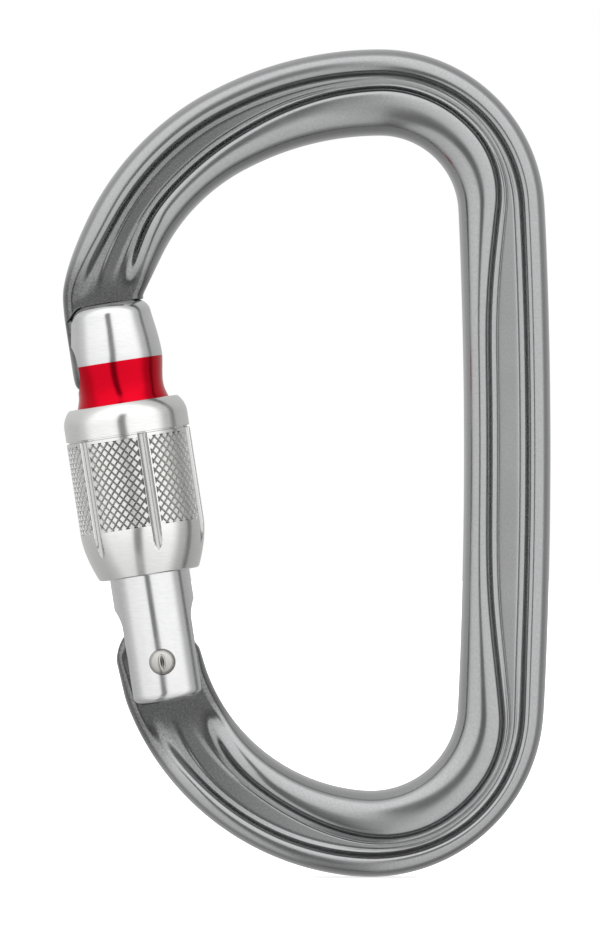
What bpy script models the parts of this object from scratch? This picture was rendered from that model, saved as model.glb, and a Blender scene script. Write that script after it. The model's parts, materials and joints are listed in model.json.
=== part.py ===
"""Locking carabiner: a forged D-shaped frame, a hinged gate that springs shut on a keyhole nose,
and a fluted sleeve that screws up over the nose to lock the gate. Metres, +Z up.
The origin is the bearing point inside the top bow. X runs from the gate to the spine, Y is the
thickness, and the camera side is -Y."""

import math

import bmesh
import bpy
import numpy as np

for leftover in list(bpy.data.objects):
    bpy.data.objects.remove(leftover)

MM = 0.001

# Frame: the bar's middle line is a chain of arcs, left and right from the top of the bow.
FRAME_WIDTH = 11.8 * MM
NOSE_ROOT_WIDTH = 11.3 * MM
TOP_BOW_RADIUS = 44.0 * MM
TOP_BOW_SWEEP = 28.4
SHOULDER_RADIUS = 32.2 * MM
SHOULDER_SWEEP = 36.0
TOP_CORNER_RADIUS = 16.5 * MM
SPINE_LENGTH = 68.0 * MM
SPINE_BOW_RADIUS = 700.0 * MM
SPINE_LEAN = 2.7
BOTTOM_CORNER_RADIUS = 17.7 * MM
BOTTOM_CORNER_OVERRUN = 4.0
BOTTOM_BOW_RADIUS = 30.4 * MM
BOTTOM_BOW_SWEEP = 66.0

# Frame section: two rounded beads with a web between them, the same on both faces.
BEAD_HALF_HEIGHT = 5.3 * MM
WEB_HALF_THICKNESS = 2.5 * MM
INNER_BEAD_SPINE = 4.0 * MM
INNER_BEAD_BOW = 6.7 * MM
OUTER_BEAD = 3.4 * MM
BEAD_WALL = 0.85 * MM
WEB_FILLET = 0.5 * MM
PLATE_EDGE = 1.1 * MM
BEAD_END_LENGTH = 6.0 * MM
BEAD_END_GAP = 1.8 * MM

# Gate: its axis runs from the hinge pivot to the nose.
PIVOT_INSET = 0.75 * MM
PIVOT_REACH = 3.4 * MM
AXIS_FROM_NOSE = 1.3 * MM
NOSE_DROP = 5.3 * MM
CLEARANCE = 0.33 * MM
BARREL_RADIUS = 5.45 * MM
THREAD_RADIUS = 6.3 * MM
NECK_RADIUS = 5.75 * MM
GATE_NOSE_RADIUS = 6.25 * MM
GATE_TIP_RADIUS = 5.45 * MM
GATE_TAIL = 4.8 * MM
GATE_TIP_GAP = 0.6 * MM
GATE_OPEN = 28.0

# Nose key: a round head on a narrower neck, which the gate's keyhole slot closes round.
KEY_HEAD_RADIUS = 3.1 * MM
KEY_NECK_HALF = 1.6 * MM
KEY_LENGTH = 11.1 * MM
KEY_OUTER = 6.15 * MM
KEY_INNER = 2.2 * MM
NOSE_ROOT_INNER = 4.9 * MM

# Hinge: the lug's edge is a cam that pushes the plunger up as the gate opens.
LUG_OUTER = 6.3 * MM
LUG_INNER = 5.3 * MM
CAM_REST = 5.0 * MM
CAM_RISE = 1.0 * MM
RIVET_RADIUS = 1.8 * MM
RIVET_DOME = 0.55 * MM
PLUNGER_RADIUS = 1.7 * MM
PLUNGER_LENGTH = 3.6 * MM
SPRING_RADIUS = 1.3 * MM
SPRING_WIRE = 0.25 * MM
SPRING_LENGTH = 15.0 * MM
SPRING_TURNS = 9

# Sleeve: it is shown unlocked, and travels up by the height of the red band.
SLEEVE_RADIUS = 8.43 * MM
SLEEVE_LENGTH = 23.5 * MM
SLEEVE_COLLAR = 4.2 * MM
SLEEVE_TAPER = 6.4 * MM
SLEEVE_FOOT_RADIUS = 6.75 * MM
SLEEVE_WALL_GAP = 0.35 * MM
SLEEVE_LIP = 2.2 * MM
RED_BAND = 5.65 * MM
NOSE_CAP = 8.0 * MM
RING_HEIGHT = 1.0 * MM
FLUTES = 6
FLUTE_TURN = 14.0
FLUTE_CUTTER = 0.9 * MM
FLUTE_DEPTH = 0.3 * MM
COLLAR_ROUND = 2.4 * MM
COLLAR_DROP = 1.0 * MM


def walk(point, heading, radius, sweep, steps):
    """Points and headings along an arc, after its start. A positive sweep turns left."""
    turn = math.radians(sweep) / steps
    chord = 2 * radius * math.sin(abs(turn) / 2)
    stops = []
    for _ in range(steps):
        point = point + chord * np.array([math.cos(heading + turn / 2), math.sin(heading + turn / 2)])
        heading = heading + turn
        stops.append((point, heading))
    return stops


def smooth(value):
    value = min(max(value, 0.0), 1.0)
    return value * value * (3 - 2 * value)


# The middle line: the left run goes from the top to the nose, the right run from the top to the hinge.
top = (np.array([0.0, FRAME_WIDTH / 2]), math.pi)
left_run = [top] + walk(*top, TOP_BOW_RADIUS, TOP_BOW_SWEEP, 7)
left_run += walk(*left_run[-1], SHOULDER_RADIUS, SHOULDER_SWEEP, 8)
right_run = walk(top[0], 0.0, TOP_CORNER_RADIUS, SPINE_LEAN - 90, 12)
corner_end = len(right_run)
right_run += walk(*right_run[-1], SPINE_BOW_RADIUS, -math.degrees(SPINE_LENGTH / SPINE_BOW_RADIUS), 12)
spine_end = len(right_run)
spine_heading = math.degrees(right_run[-1][1])
right_run += walk(*right_run[-1], BOTTOM_CORNER_RADIUS, -(180 + spine_heading + BOTTOM_CORNER_OVERRUN), 12)
right_run += walk(*right_run[-1], BOTTOM_BOW_RADIUS, -BOTTOM_BOW_SWEEP, 11)


def edges(point, heading, width, side):
    """The bar's inner and outer edge beside a point of the middle line."""
    outward = side * np.array([math.sin(heading), -math.cos(heading)])
    return point - outward * width / 2, point + outward * width / 2


# The gate's own axes: `across` points from the nose's outside to the spine, `along` up the gate.
hinge_point, hinge_heading = right_run[-1]
hinge_in, hinge_out = edges(hinge_point, hinge_heading, FRAME_WIDTH, -1)
hinge_ahead = np.array([math.cos(hinge_heading), math.sin(hinge_heading)])
pivot = hinge_point + (hinge_in - hinge_out) / FRAME_WIDTH * PIVOT_INSET + hinge_ahead * PIVOT_REACH
nose_in, nose_out = edges(*left_run[-1], NOSE_ROOT_WIDTH, 1)
nose_point = nose_out + (nose_in - nose_out) / NOSE_ROOT_WIDTH * AXIS_FROM_NOSE
along = (nose_point - pivot) / np.linalg.norm(nose_point - pivot)
across = np.array([along[1], -along[0]])
GATE_TILT = math.atan2(-along[0], along[1])

# Heights on the gate's axis, from the pivot.
key_root = float(np.linalg.norm(nose_in - pivot)) - NOSE_DROP
key_tip = key_root - KEY_LENGTH
key_middle = key_tip + KEY_HEAD_RADIUS
gate_top = key_root - GATE_TIP_GAP
red_top = gate_top - NOSE_CAP
sleeve_top = red_top - RED_BAND
sleeve_foot = sleeve_top - SLEEVE_LENGTH
swing_top = math.hypot(gate_top, GATE_TIP_RADIUS) + 2 * CLEARANCE
swing_tail = math.hypot(GATE_TAIL, BARREL_RADIUS) + CLEARANCE
fork_half = WEB_HALF_THICKNESS + CLEARANCE
cam_top = CAM_REST + CAM_RISE
fork_end = cam_top + CLEARANCE + fork_half - math.sqrt(fork_half**2 - WEB_HALF_THICKNESS**2)
plunger_foot = CAM_REST + CLEARANCE
bore_radius = PLUNGER_RADIUS + CLEARANCE
spring_foot = plunger_foot + PLUNGER_LENGTH + CLEARANCE
bore_end = spring_foot + SPRING_LENGTH + CLEARANCE
sleeve_bore = THREAD_RADIUS + SLEEVE_WALL_GAP
ring_foot = sleeve_foot + SLEEVE_LIP + CLEARANCE
thread_foot = ring_foot + RING_HEIGHT + RED_BAND + CLEARANCE


def gate_to_frame(x, z):
    """A point of the gate's own plane, in the frame's XZ plane."""
    return pivot + across * x + along * z


def half_section(width, inner, outer, inner_fade, outer_fade, half):
    """The section's upper half from the inner to the outer edge, as (distance, height).
    A fade of 1 is a full bead beside the web, and 0 is a flat plate with rounded edges."""
    points = []
    spots = np.linspace(PLATE_EDGE, width - PLATE_EDGE, 8)
    for bead, fade, mirrored in ((inner, inner_fade, False), (outer, outer_fade, True)):
        crest = PLATE_EDGE + fade * (0.56 * (bead - BEAD_WALL) * 1.18 - PLATE_EDGE)
        height = half + fade * (BEAD_HALF_HEIGHT - half)
        side = []
        for step in range(5):
            angle = math.radians(90 * step / 4)
            side.append((crest * (1 - math.cos(angle)), height * math.sin(angle)))
        shoulder = height - fade * 0.35 * MM
        foot = half + fade * 0.3 * MM
        for spot, place, level in (
            (spots[1], bead - BEAD_WALL, shoulder),
            (spots[2], bead, foot),
            (spots[3], bead + WEB_FILLET, half),
        ):
            side.append((spot + fade * (place - spot), level))
        points += [(width - u, y) for u, y in reversed(side)] if mirrored else side
    return points


def quarter(value):
    """A quarter-ellipse rise from 0 to 1."""
    value = min(max(value, 0.0), 1.0)
    return math.sqrt(1 - (1 - value) ** 2)


def straight_row(inner, outer):
    return lambda share: inner + (outer - inner) * share


def arc_row(inner_x, outer_x, radius):
    """A row on a circle about the pivot, so that the gate can swing off it."""

    def place(share):
        x = inner_x + (outer_x - inner_x) * share
        return gate_to_frame(x, math.sqrt(radius**2 - x**2))

    return place


def fades(inner, outer):
    """How far the beads stand up beside these edge points: they end clear of the gate's swing."""
    found = []
    for edge in (inner, outer):
        reach = float(np.linalg.norm(edge - pivot))
        near_hinge = (reach - swing_tail - BEAD_END_GAP) / BEAD_END_LENGTH
        near_nose = (reach - swing_top) / BEAD_END_LENGTH
        on_nose_side = float((edge - pivot) @ along) > gate_top / 2
        on_spine_side = float((edge - pivot) @ across) > 2 * NOSE_ROOT_INNER
        clear = 1.0 if on_spine_side and on_nose_side else near_nose if on_nose_side else near_hinge
        found.append(quarter(clear))
    return found


# Rows of the frame's skin, from the tip of the nose key round to the lug.
rows = []
for turn in (20, 40, 65, 90, 115, 135):
    lift = -KEY_HEAD_RADIUS * math.cos(math.radians(turn))
    half = KEY_HEAD_RADIUS * math.sin(math.radians(turn))
    shrink = 0.9 * MM * (1 - quarter((lift + KEY_HEAD_RADIUS) / (1.4 * MM)))
    width = KEY_OUTER + KEY_INNER - 2 * shrink
    row = arc_row(KEY_INNER - shrink, shrink - KEY_OUTER, key_middle + lift)
    rows.append((row, half_section(width, PLATE_EDGE, PLATE_EDGE, 0, 0, half)))
neck_rise = key_middle + KEY_HEAD_RADIUS * math.cos(math.asin(KEY_NECK_HALF / KEY_HEAD_RADIUS)) + 0.3 * MM
for radius in (neck_rise, (neck_rise + key_root) / 2, key_root - 0.02 * MM):
    row = arc_row(KEY_INNER, -KEY_OUTER, radius)
    rows.append((row, half_section(KEY_INNER + KEY_OUTER, PLATE_EDGE, PLATE_EDGE, 0, 0, KEY_NECK_HALF)))
root_outer = KEY_OUTER + 0.15 * MM
root_width = NOSE_ROOT_INNER + root_outer
row = arc_row(NOSE_ROOT_INNER, -root_outer, key_root + 0.35 * MM)
rows.append((row, half_section(root_width, PLATE_EDGE, PLATE_EDGE, 0, 0, WEB_HALF_THICKNESS)))


def add_bar_row(inner, outer, bow_share):
    width = float(np.linalg.norm(outer - inner))
    inner_fade, outer_fade = fades(inner, outer)
    bead = INNER_BEAD_SPINE + (INNER_BEAD_BOW - INNER_BEAD_SPINE) * bow_share
    bead = bead * width / FRAME_WIDTH
    section = half_section(width, bead, OUTER_BEAD, inner_fade, outer_fade, WEB_HALF_THICKNESS)
    rows.append((straight_row(inner, outer), section))


def width_at(step):
    return FRAME_WIDTH + (NOSE_ROOT_WIDTH - FRAME_WIDTH) * smooth(step / (len(left_run) - 1))


# The nose bends from the bow's end to the key: its outer edge is a curve with one control point.
bow_in, bow_out = edges(*left_run[-1], NOSE_ROOT_WIDTH, 1)
key_in = gate_to_frame(NOSE_ROOT_INNER, math.sqrt((key_root + 0.35 * MM) ** 2 - NOSE_ROOT_INNER**2))
key_out = gate_to_frame(-root_outer, math.sqrt((key_root + 0.35 * MM) ** 2 - root_outer**2))
heading_end = left_run[-1][1]
bow_dir = np.array([math.cos(heading_end), math.sin(heading_end)])
gap = key_out - bow_out
reach = float(gap @ across) / float(bow_dir @ across) if abs(float(bow_dir @ across)) > 0.05 else 0.0
reach = min(max(reach, 0.2 * float(np.linalg.norm(gap))), 0.9 * float(np.linalg.norm(gap)))
control = bow_out + bow_dir * reach
for share in (0.8, 0.6, 0.4, 0.2):
    t = share
    outer = bow_out * (1 - t) ** 2 + control * 2 * t * (1 - t) + key_out * t**2
    add_bar_row(bow_in + (key_in - bow_in) * t, outer, 0.7)
for step in range(len(left_run) - 1, 0, -1):
    inner, outer = edges(*left_run[step], width_at(step), 1)
    add_bar_row(inner, outer, 1 - 0.3 * smooth(step / (len(left_run) - 1)))
inner, outer = edges(top[0], math.pi, FRAME_WIDTH, 1)
add_bar_row(inner, outer, 1.0)
for step, (point, heading) in enumerate(right_run):
    inner, outer = edges(point, heading, FRAME_WIDTH, -1)
    past_top = (step - corner_end * 0.75) / (corner_end * 0.45)
    before_bottom = (step - spine_end + corner_end * 0.2) / (corner_end * 0.45)
    add_bar_row(inner, outer, max(1 - smooth(past_top), smooth(before_bottom)))

# The lug closes the frame's hinge end: its rim is the cam, as a radius for each angle.
CAM_KEYS = (
    (8.0, LUG_INNER),
    (30.0, LUG_INNER - 0.3 * MM),
    (90.0 - GATE_OPEN, cam_top),
    (90.0, CAM_REST),
    (112.0, CAM_REST + 0.25 * MM),
    (140.0, LUG_OUTER),
    (172.0, LUG_OUTER),
)


def cam_point(share):
    angle = CAM_KEYS[0][0] + (CAM_KEYS[-1][0] - CAM_KEYS[0][0]) * share
    radius = CAM_KEYS[-1][1]
    for (a0, r0), (a1, r1) in zip(CAM_KEYS, CAM_KEYS[1:]):
        if a0 <= angle <= a1:
            radius = r0 + (r1 - r0) * smooth((angle - a0) / (a1 - a0))
            break
    return gate_to_frame(radius * math.cos(math.radians(angle)), radius * math.sin(math.radians(angle)))


lug_base = straight_row(*edges(*right_run[-1], FRAME_WIDTH, -1))


def lug_row(share_up):
    return lambda share: lug_base(share) * (1 - share_up) + cam_point(share) * share_up


lug_shares = [(16 - k) / 16 for k in range(17)]
for share_up, half in (
    (0.3, WEB_HALF_THICKNESS),
    (0.6, WEB_HALF_THICKNESS),
    (0.86, WEB_HALF_THICKNESS),
    (0.97, WEB_HALF_THICKNESS - 0.35 * MM),
    (1.0, WEB_HALF_THICKNESS - 0.9 * MM),
):
    section = half_section(FRAME_WIDTH, PLATE_EDGE, PLATE_EDGE, 0, 0, half)
    rows.append((lug_row(share_up), section))


def new_material(name, colour, metallic, roughness):
    material = bpy.data.materials.new(name)
    material.use_nodes = True
    shader = material.node_tree.nodes["Principled BSDF"]
    shader.inputs["Base Color"].default_value = (*colour, 1.0)
    shader.inputs["Metallic"].default_value = metallic
    shader.inputs["Roughness"].default_value = roughness
    return material


def add_object(name, mesh_maker, material=None):
    """A scene object from a bmesh, with its normals facing out."""
    mesh = bpy.data.meshes.new(name)
    bmesh.ops.recalc_face_normals(mesh_maker, faces=mesh_maker.faces)
    mesh_maker.to_mesh(mesh)
    mesh_maker.free()
    thing = bpy.data.objects.new(name, mesh)
    bpy.context.collection.objects.link(thing)
    if material:
        mesh.materials.append(material)
    return thing


def ring_skin(rings, closed_ends=True):
    """A bmesh skin over rings of 3-D points that all have the same count."""
    maker = bmesh.new()
    corners = [[maker.verts.new(point) for point in ring] for ring in rings]
    count = len(rings[0])
    for near, far in zip(corners, corners[1:]):
        for k in range(count):
            maker.faces.new((near[k], near[(k + 1) % count], far[(k + 1) % count], far[k]))
    if closed_ends:
        for ring in (corners[0], corners[-1]):
            for k in range(count // 2):
                low = ring[(count - k) % count]
                next_low = ring[(count - k - 1) % count]
                loop = []
                for corner in (ring[k], ring[k + 1], next_low, low):
                    if corner not in loop:
                        loop.append(corner)
                if len(loop) > 2:
                    maker.faces.new(loop)
    return maker


def cut(thing, cutter):
    """Takes the cutter's solid out of the thing, and hides the cutter."""
    change = thing.modifiers.new("cut_" + cutter.name, "BOOLEAN")
    change.operation = "DIFFERENCE"
    change.solver = "EXACT"
    change.object = cutter
    cutter.hide_render = True
    cutter.display_type = "WIRE"


def in_gate(x, y, z):
    """A point in the gate's own axes, in the world."""
    flat = gate_to_frame(x, z)
    return (flat[0], y, flat[1])


def turned(profile, segments):
    """A solid turned about the gate's axis from a closed profile of (radius, height) points that
    starts and ends on the axis."""
    maker = bmesh.new()
    bottom = maker.verts.new(in_gate(0, 0, profile[0][1]))
    crown = maker.verts.new(in_gate(0, 0, profile[-1][1]))
    rings = []
    for radius, height in profile[1:-1]:
        ring = []
        for k in range(segments):
            angle = 2 * math.pi * (k + 0.5) / segments
            ring.append(maker.verts.new(in_gate(radius * math.sin(angle), -radius * math.cos(angle), height)))
        rings.append(ring)
    for k in range(segments):
        after = (k + 1) % segments
        maker.faces.new((bottom, rings[0][k], rings[0][after]))
        maker.faces.new((crown, rings[-1][after], rings[-1][k]))
        for near, far in zip(rings, rings[1:]):
            maker.faces.new((near[k], near[after], far[after], far[k]))
    return maker


def tube_ring(profile, angles):
    """A ring turned about the gate's axis: the profile is a closed loop of (radius, height), and a
    radius may be a function of the angle from the camera side."""
    maker = bmesh.new()
    columns = []
    for angle in angles:
        column = []
        for radius, height in profile:
            size = radius(angle) if callable(radius) else radius
            column.append(maker.verts.new(in_gate(size * math.sin(angle), -size * math.cos(angle), height)))
        columns.append(column)
    count = len(profile)
    for near, far in zip(columns, columns[1:] + columns[:1]):
        for k in range(count):
            maker.faces.new((near[k], near[(k + 1) % count], far[(k + 1) % count], far[k]))
    return maker


def pin_solid(radius, half_length, dome, segments):
    """A pin along Y through the pivot with domed ends."""
    levels = [(0.0, half_length + dome)]
    levels += [(radius * math.sin(math.radians(a)), half_length + dome * math.cos(math.radians(a))) for a in (25, 50, 72, 90)]
    levels += [(r, -y) for r, y in reversed(levels)]
    maker = bmesh.new()
    ends = [maker.verts.new(in_gate(0, levels[0][1], 0)), maker.verts.new(in_gate(0, levels[-1][1], 0))]
    rings = []
    for size, y in levels[1:-1]:
        ring = []
        for k in range(segments):
            angle = 2 * math.pi * k / segments
            ring.append(maker.verts.new(in_gate(size * math.cos(angle), y, size * math.sin(angle))))
        rings.append(ring)
    for k in range(segments):
        after = (k + 1) % segments
        maker.faces.new((ends[0], rings[0][k], rings[0][after]))
        maker.faces.new((ends[1], rings[-1][after], rings[-1][k]))
        for near, far in zip(rings, rings[1:]):
            maker.faces.new((near[k], near[after], far[after], far[k]))
    return maker


alloy = new_material("grey_alloy", (0.42, 0.42, 0.43), 1.0, 0.38)
bright = new_material("bright_alloy", (0.82, 0.82, 0.82), 1.0, 0.28)
red = new_material("red_lacquer", (0.55, 0.02, 0.02), 0.3, 0.3)
sleeve_alloy = new_material("sleeve_alloy", (0.8, 0.8, 0.8), 1.0, 0.32)
steel = new_material("rivet_steel", (0.7, 0.68, 0.62), 1.0, 0.3)
spring_steel = new_material("spring_steel", (0.5, 0.5, 0.52), 1.0, 0.3)
plunger_steel = new_material("plunger_steel", (0.55, 0.55, 0.56), 1.0, 0.35)
ring_steel = new_material("ring_steel", (0.6, 0.6, 0.6), 1.0, 0.35)

# Frame: each row's section, first over the near face and back over the far one.
rings = []
for place, section in rows:
    width = section[-1][0]
    upper = [(*place(u / width), -y) for u, y in section]
    ring = [(x, y, z) for x, z, y in upper]
    ring += [(x, -y, z) for x, z, y in reversed(upper[1:-1])]
    rings.append(ring)
frame = add_object("frame", ring_skin(rings), alloy)
hole_radius = RIVET_RADIUS + CLEARANCE / 2
rivet_hole = add_object("rivet_hole", pin_solid(hole_radius, BARREL_RADIUS + 2 * MM, 1 * MM, 24))
cut(frame, rivet_hole)

# Gate barrel: turned, then forked at the hinge, bored for the spring and slotted for the nose key.
chamfer = 0.18 * BARREL_RADIUS
barrel_profile = [
    (0, -GATE_TAIL),
    (BARREL_RADIUS - chamfer, -GATE_TAIL),
    (BARREL_RADIUS - 0.3 * chamfer, -GATE_TAIL + 0.3 * chamfer),
    (BARREL_RADIUS, -GATE_TAIL + chamfer),
    (BARREL_RADIUS, thread_foot - 0.4 * MM),
    (THREAD_RADIUS, thread_foot + 0.4 * MM),
    (THREAD_RADIUS, sleeve_top + 0.7 * MM),
    (NECK_RADIUS + 0.3 * MM, sleeve_top + 1.9 * MM),
    (NECK_RADIUS, sleeve_top + 0.55 * RED_BAND),
    (GATE_NOSE_RADIUS - 0.2 * MM, red_top - 1.2 * MM),
    (GATE_NOSE_RADIUS, red_top),
    (GATE_NOSE_RADIUS - 0.1 * MM, red_top + 0.275 * NOSE_CAP),
    (GATE_TIP_RADIUS, gate_top - chamfer),
    (GATE_TIP_RADIUS - 0.3 * chamfer, gate_top - 0.3 * chamfer),
    (GATE_TIP_RADIUS - chamfer, gate_top),
    (0, gate_top),
]
gate = add_object("gate_barrel", turned(barrel_profile, 40), bright)
gate.data.materials.append(red)
for face in gate.data.polygons:
    middle = np.array([face.center[0], face.center[2]]) - pivot
    if sleeve_top - 0.5 * MM < float(middle @ along) < red_top and abs(float(face.normal.z)) < 0.95:
        face.material_index = 1

# The keyhole slot opens to the outside, and its floor and shoulders are circles about the pivot.
slot_head = KEY_HEAD_RADIUS + CLEARANCE
slot_neck = KEY_NECK_HALF + CLEARANCE
meet = math.asin(slot_neck / slot_head)
keyhole = [(-slot_neck, gate_top + 4 * MM)]
for k in range(15):
    angle = math.pi - meet + (2 * meet - 2 * math.pi) * k / 14
    keyhole.append((-slot_head * math.sin(angle), key_middle - slot_head * math.cos(angle)))
keyhole.append((slot_neck, gate_top + 4 * MM))
slot_rings = []
for share in np.linspace(0, 1, 9):
    x = KEY_INNER + CLEARANCE + (-GATE_NOSE_RADIUS - 3 * MM - KEY_INNER - CLEARANCE) * float(share)
    slot_rings.append([in_gate(x, y, math.sqrt(rho**2 - x**2)) for y, rho in keyhole])


def prism_skin(rings):
    """A closed skin over rings, with one flat face at each end."""
    maker = ring_skin(rings, closed_ends=False)
    maker.verts.ensure_lookup_table()
    count = len(rings[0])
    maker.faces.new([maker.verts[k] for k in range(count)])
    maker.faces.new([maker.verts[len(maker.verts) - 1 - k] for k in range(count)])
    return maker


cut(gate, add_object("nose_slot", prism_skin(slot_rings)))
fork = [(-fork_half, -1.6 * GATE_TAIL)]
for k in range(11):
    angle = math.pi - math.pi * k / 10
    fork.append((fork_half * math.cos(angle), fork_end - fork_half + fork_half * math.sin(angle)))
fork.append((fork_half, -1.6 * GATE_TAIL))
reach = 1.6 * BARREL_RADIUS
cut(gate, add_object("fork_slot", prism_skin([[in_gate(x, y, z) for y, z in fork] for x in (-reach, reach)])))
bore = [(0, 0), (bore_radius, 0), (bore_radius, bore_end), (0, bore_end)]
cut(gate, add_object("spring_bore", turned(bore, 20)))
gate_hole = add_object("gate_hole", pin_solid(hole_radius, 1.6 * BARREL_RADIUS, 0.5 * hole_radius, 24))
cut(gate, gate_hole)

rivet = add_object("hinge_rivet", pin_solid(RIVET_RADIUS, BARREL_RADIUS - 0.2 * MM, RIVET_DOME, 24), steel)

# Plunger: a short pin with a domed foot that rides the cam.
plunger_profile = [(0, plunger_foot)]
for angle in (35, 65, 90):
    turn = math.radians(angle)
    plunger_profile.append((PLUNGER_RADIUS * math.sin(turn), plunger_foot + 0.9 * MM * (1 - math.cos(turn))))
plunger_profile += [(PLUNGER_RADIUS, plunger_foot + PLUNGER_LENGTH), (0, plunger_foot + PLUNGER_LENGTH)]
plunger = add_object("spring_plunger", turned(plunger_profile, 20), plunger_steel)

# Gate spring: one round wire wound on a helix between the plunger and the bore's end.
points_per_turn = 10
wire_sides = 6
lowest = spring_foot + SPRING_WIRE
rise = (SPRING_LENGTH - 2 * SPRING_WIRE) / SPRING_TURNS
wire_rings = []
wire_points = []
for k in range(SPRING_TURNS * points_per_turn + 1):
    angle = 2 * math.pi * k / points_per_turn
    height = lowest + rise * k / points_per_turn
    wire_points.append((SPRING_RADIUS * math.cos(angle), SPRING_RADIUS * math.sin(angle), height))
    ring = []
    for side in range(wire_sides):
        turn = 2 * math.pi * side / wire_sides
        radius = SPRING_RADIUS + SPRING_WIRE * math.cos(turn)
        ring.append(in_gate(radius * math.cos(angle), radius * math.sin(angle), height + SPRING_WIRE * math.sin(turn)))
    wire_rings.append(ring)
spring = add_object("gate_spring", prism_skin(wire_rings), spring_steel)
wire = np.array(wire_points)
spans = np.linalg.norm(wire[:, None] - wire[None], axis=2)
far_apart = np.abs(np.subtract.outer(np.arange(len(wire)), np.arange(len(wire)))) > points_per_turn // 2
print(f"spring: least gap between curls {(spans[far_apart].min() - 2 * SPRING_WIRE) / MM:.2f} mm")

# Sleeve: a collar, a fluted grip and a tapered foot whose lip holds the stop ring.
grip_top = sleeve_top - SLEEVE_COLLAR
taper_top = sleeve_foot + SLEEVE_TAPER


def outline(height):
    """The sleeve's outer radius at a height, without its flutes."""
    if height >= grip_top:
        rounding = max(0.0, 1 - (sleeve_top - height) / COLLAR_ROUND)
        return SLEEVE_RADIUS - COLLAR_DROP * rounding**2.2
    drop = max(0.0, (taper_top - height) / SLEEVE_TAPER)
    return SLEEVE_RADIUS - (SLEEVE_RADIUS - SLEEVE_FOOT_RADIUS) * drop**1.7


def fluted(height):
    """The outer radius for an angle, where the flutes are straight cuts along the axis."""
    centre = SLEEVE_RADIUS - FLUTE_DEPTH + FLUTE_CUTTER

    def radius(angle):
        pitch = 2 * math.pi / FLUTES
        off = (angle - math.radians(FLUTE_TURN) + pitch / 2) % pitch - pitch / 2
        inside = FLUTE_CUTTER**2 - (centre * math.sin(off)) ** 2
        if inside <= 0:
            return outline(height)
        return min(outline(height), centre * math.cos(off) - math.sqrt(inside))

    return radius


flute_half = math.acos((SLEEVE_RADIUS**2 + (SLEEVE_RADIUS - FLUTE_DEPTH + FLUTE_CUTTER) ** 2 - FLUTE_CUTTER**2)
                       / (2 * SLEEVE_RADIUS * (SLEEVE_RADIUS - FLUTE_DEPTH + FLUTE_CUTTER)))
angles = []
for k in range(FLUTES):
    middle = math.radians(FLUTE_TURN) + 2 * math.pi * k / FLUTES
    angles += [middle + flute_half * share for share in (-1, -0.6, -0.25, 0.25, 0.6, 1)]
    spare = 2 * math.pi / FLUTES - 2 * flute_half
    angles += [middle + flute_half + spare * share for share in (0.25, 0.5, 0.75)]
sleeve_profile = [
    (sleeve_bore - 0.9 * MM, sleeve_foot),
    (outline(sleeve_foot) - 0.25 * MM, sleeve_foot),
]
for share in (0.04, 0.25, 0.45, 0.62, 0.8, 1.0):
    height = sleeve_foot + SLEEVE_TAPER * share
    sleeve_profile.append((fluted(height), height))
sleeve_profile += [
    (fluted(grip_top - 0.5 * MM), grip_top - 0.5 * MM),
    (SLEEVE_RADIUS - FLUTE_DEPTH - 0.1 * MM, grip_top - 0.15 * MM),
    (SLEEVE_RADIUS - FLUTE_DEPTH - 0.1 * MM, grip_top + 0.05 * MM),
]
for share in (0.05, 0.43, 0.6, 0.75, 0.88, 1.0):
    sleeve_profile.append((outline(grip_top + SLEEVE_COLLAR * share), grip_top + SLEEVE_COLLAR * share))
sleeve_profile += [
    (sleeve_bore, sleeve_top),
    (sleeve_bore, ring_foot - CLEARANCE),
    (sleeve_bore - 0.9 * MM, ring_foot - CLEARANCE),
]
sleeve = add_object("lock_sleeve", tube_ring(sleeve_profile, angles), sleeve_alloy)

# Stop ring: it rides above the sleeve's lip and meets the foot of the thread, so the sleeve stays on.
ring_inner = BARREL_RADIUS + CLEARANCE
ring_outer = sleeve_bore - CLEARANCE
ring_profile = [
    (ring_inner, ring_foot),
    (ring_outer, ring_foot),
    (ring_outer, ring_foot + RING_HEIGHT),
    (ring_inner, ring_foot + RING_HEIGHT),
]
stop_ring = add_object("stop_ring", tube_ring(ring_profile, [2 * math.pi * (k + 0.5) / 40 for k in range(40)]), ring_steel)

# Joint axes: an empty at the hinge and one on the sleeve's axis carry the moving pieces.
hinge_axis = bpy.data.objects.new("hinge_axis", None)
bpy.context.collection.objects.link(hinge_axis)
hinge_axis.location = in_gate(0, 0, 0)
sleeve_axis = bpy.data.objects.new("sleeve_axis", None)
bpy.context.collection.objects.link(sleeve_axis)
sleeve_axis.location = in_gate(0, 0, sleeve_foot)
sleeve_axis.rotation_euler = (0, -GATE_TILT, 0)
bpy.context.view_layer.update()
for piece, axis in (
    (gate, hinge_axis),
    (rivet, hinge_axis),
    (plunger, hinge_axis),
    (spring, hinge_axis),
    (sleeve, sleeve_axis),
    (stop_ring, sleeve_axis),
):
    piece.parent = axis
    piece.matrix_parent_inverse = axis.matrix_world.inverted()
for name, value in (
    ("pivot x", pivot[0]),
    ("pivot z", pivot[1]),
    ("gate top", gate_top),
    ("red top", red_top),
    ("sleeve top", sleeve_top),
    ("sleeve foot", sleeve_foot),
    ("thread foot", thread_foot),
    ("key root", key_root),
    ("key tip", key_tip),
    ("bore end", bore_end),
):
    print(f"{name} {value / MM:.2f} mm")
print(f"gate tilt {math.degrees(GATE_TILT):.2f} degrees")
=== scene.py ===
# %% [markdown]
# A locking carabiner, dressed for a studio photograph. The imported solids come first: they say where the
# hinge is, how the gate leans and how long each piece is. Every finer piece below is built round those
# numbers, so that it sits where its solid sits. The size of the solids is kept: the floor goes under it and
# the lamps aim at its middle.

import json
import math

import bmesh
import bpy
import numpy as np
from mathutils import Matrix, Vector

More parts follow.
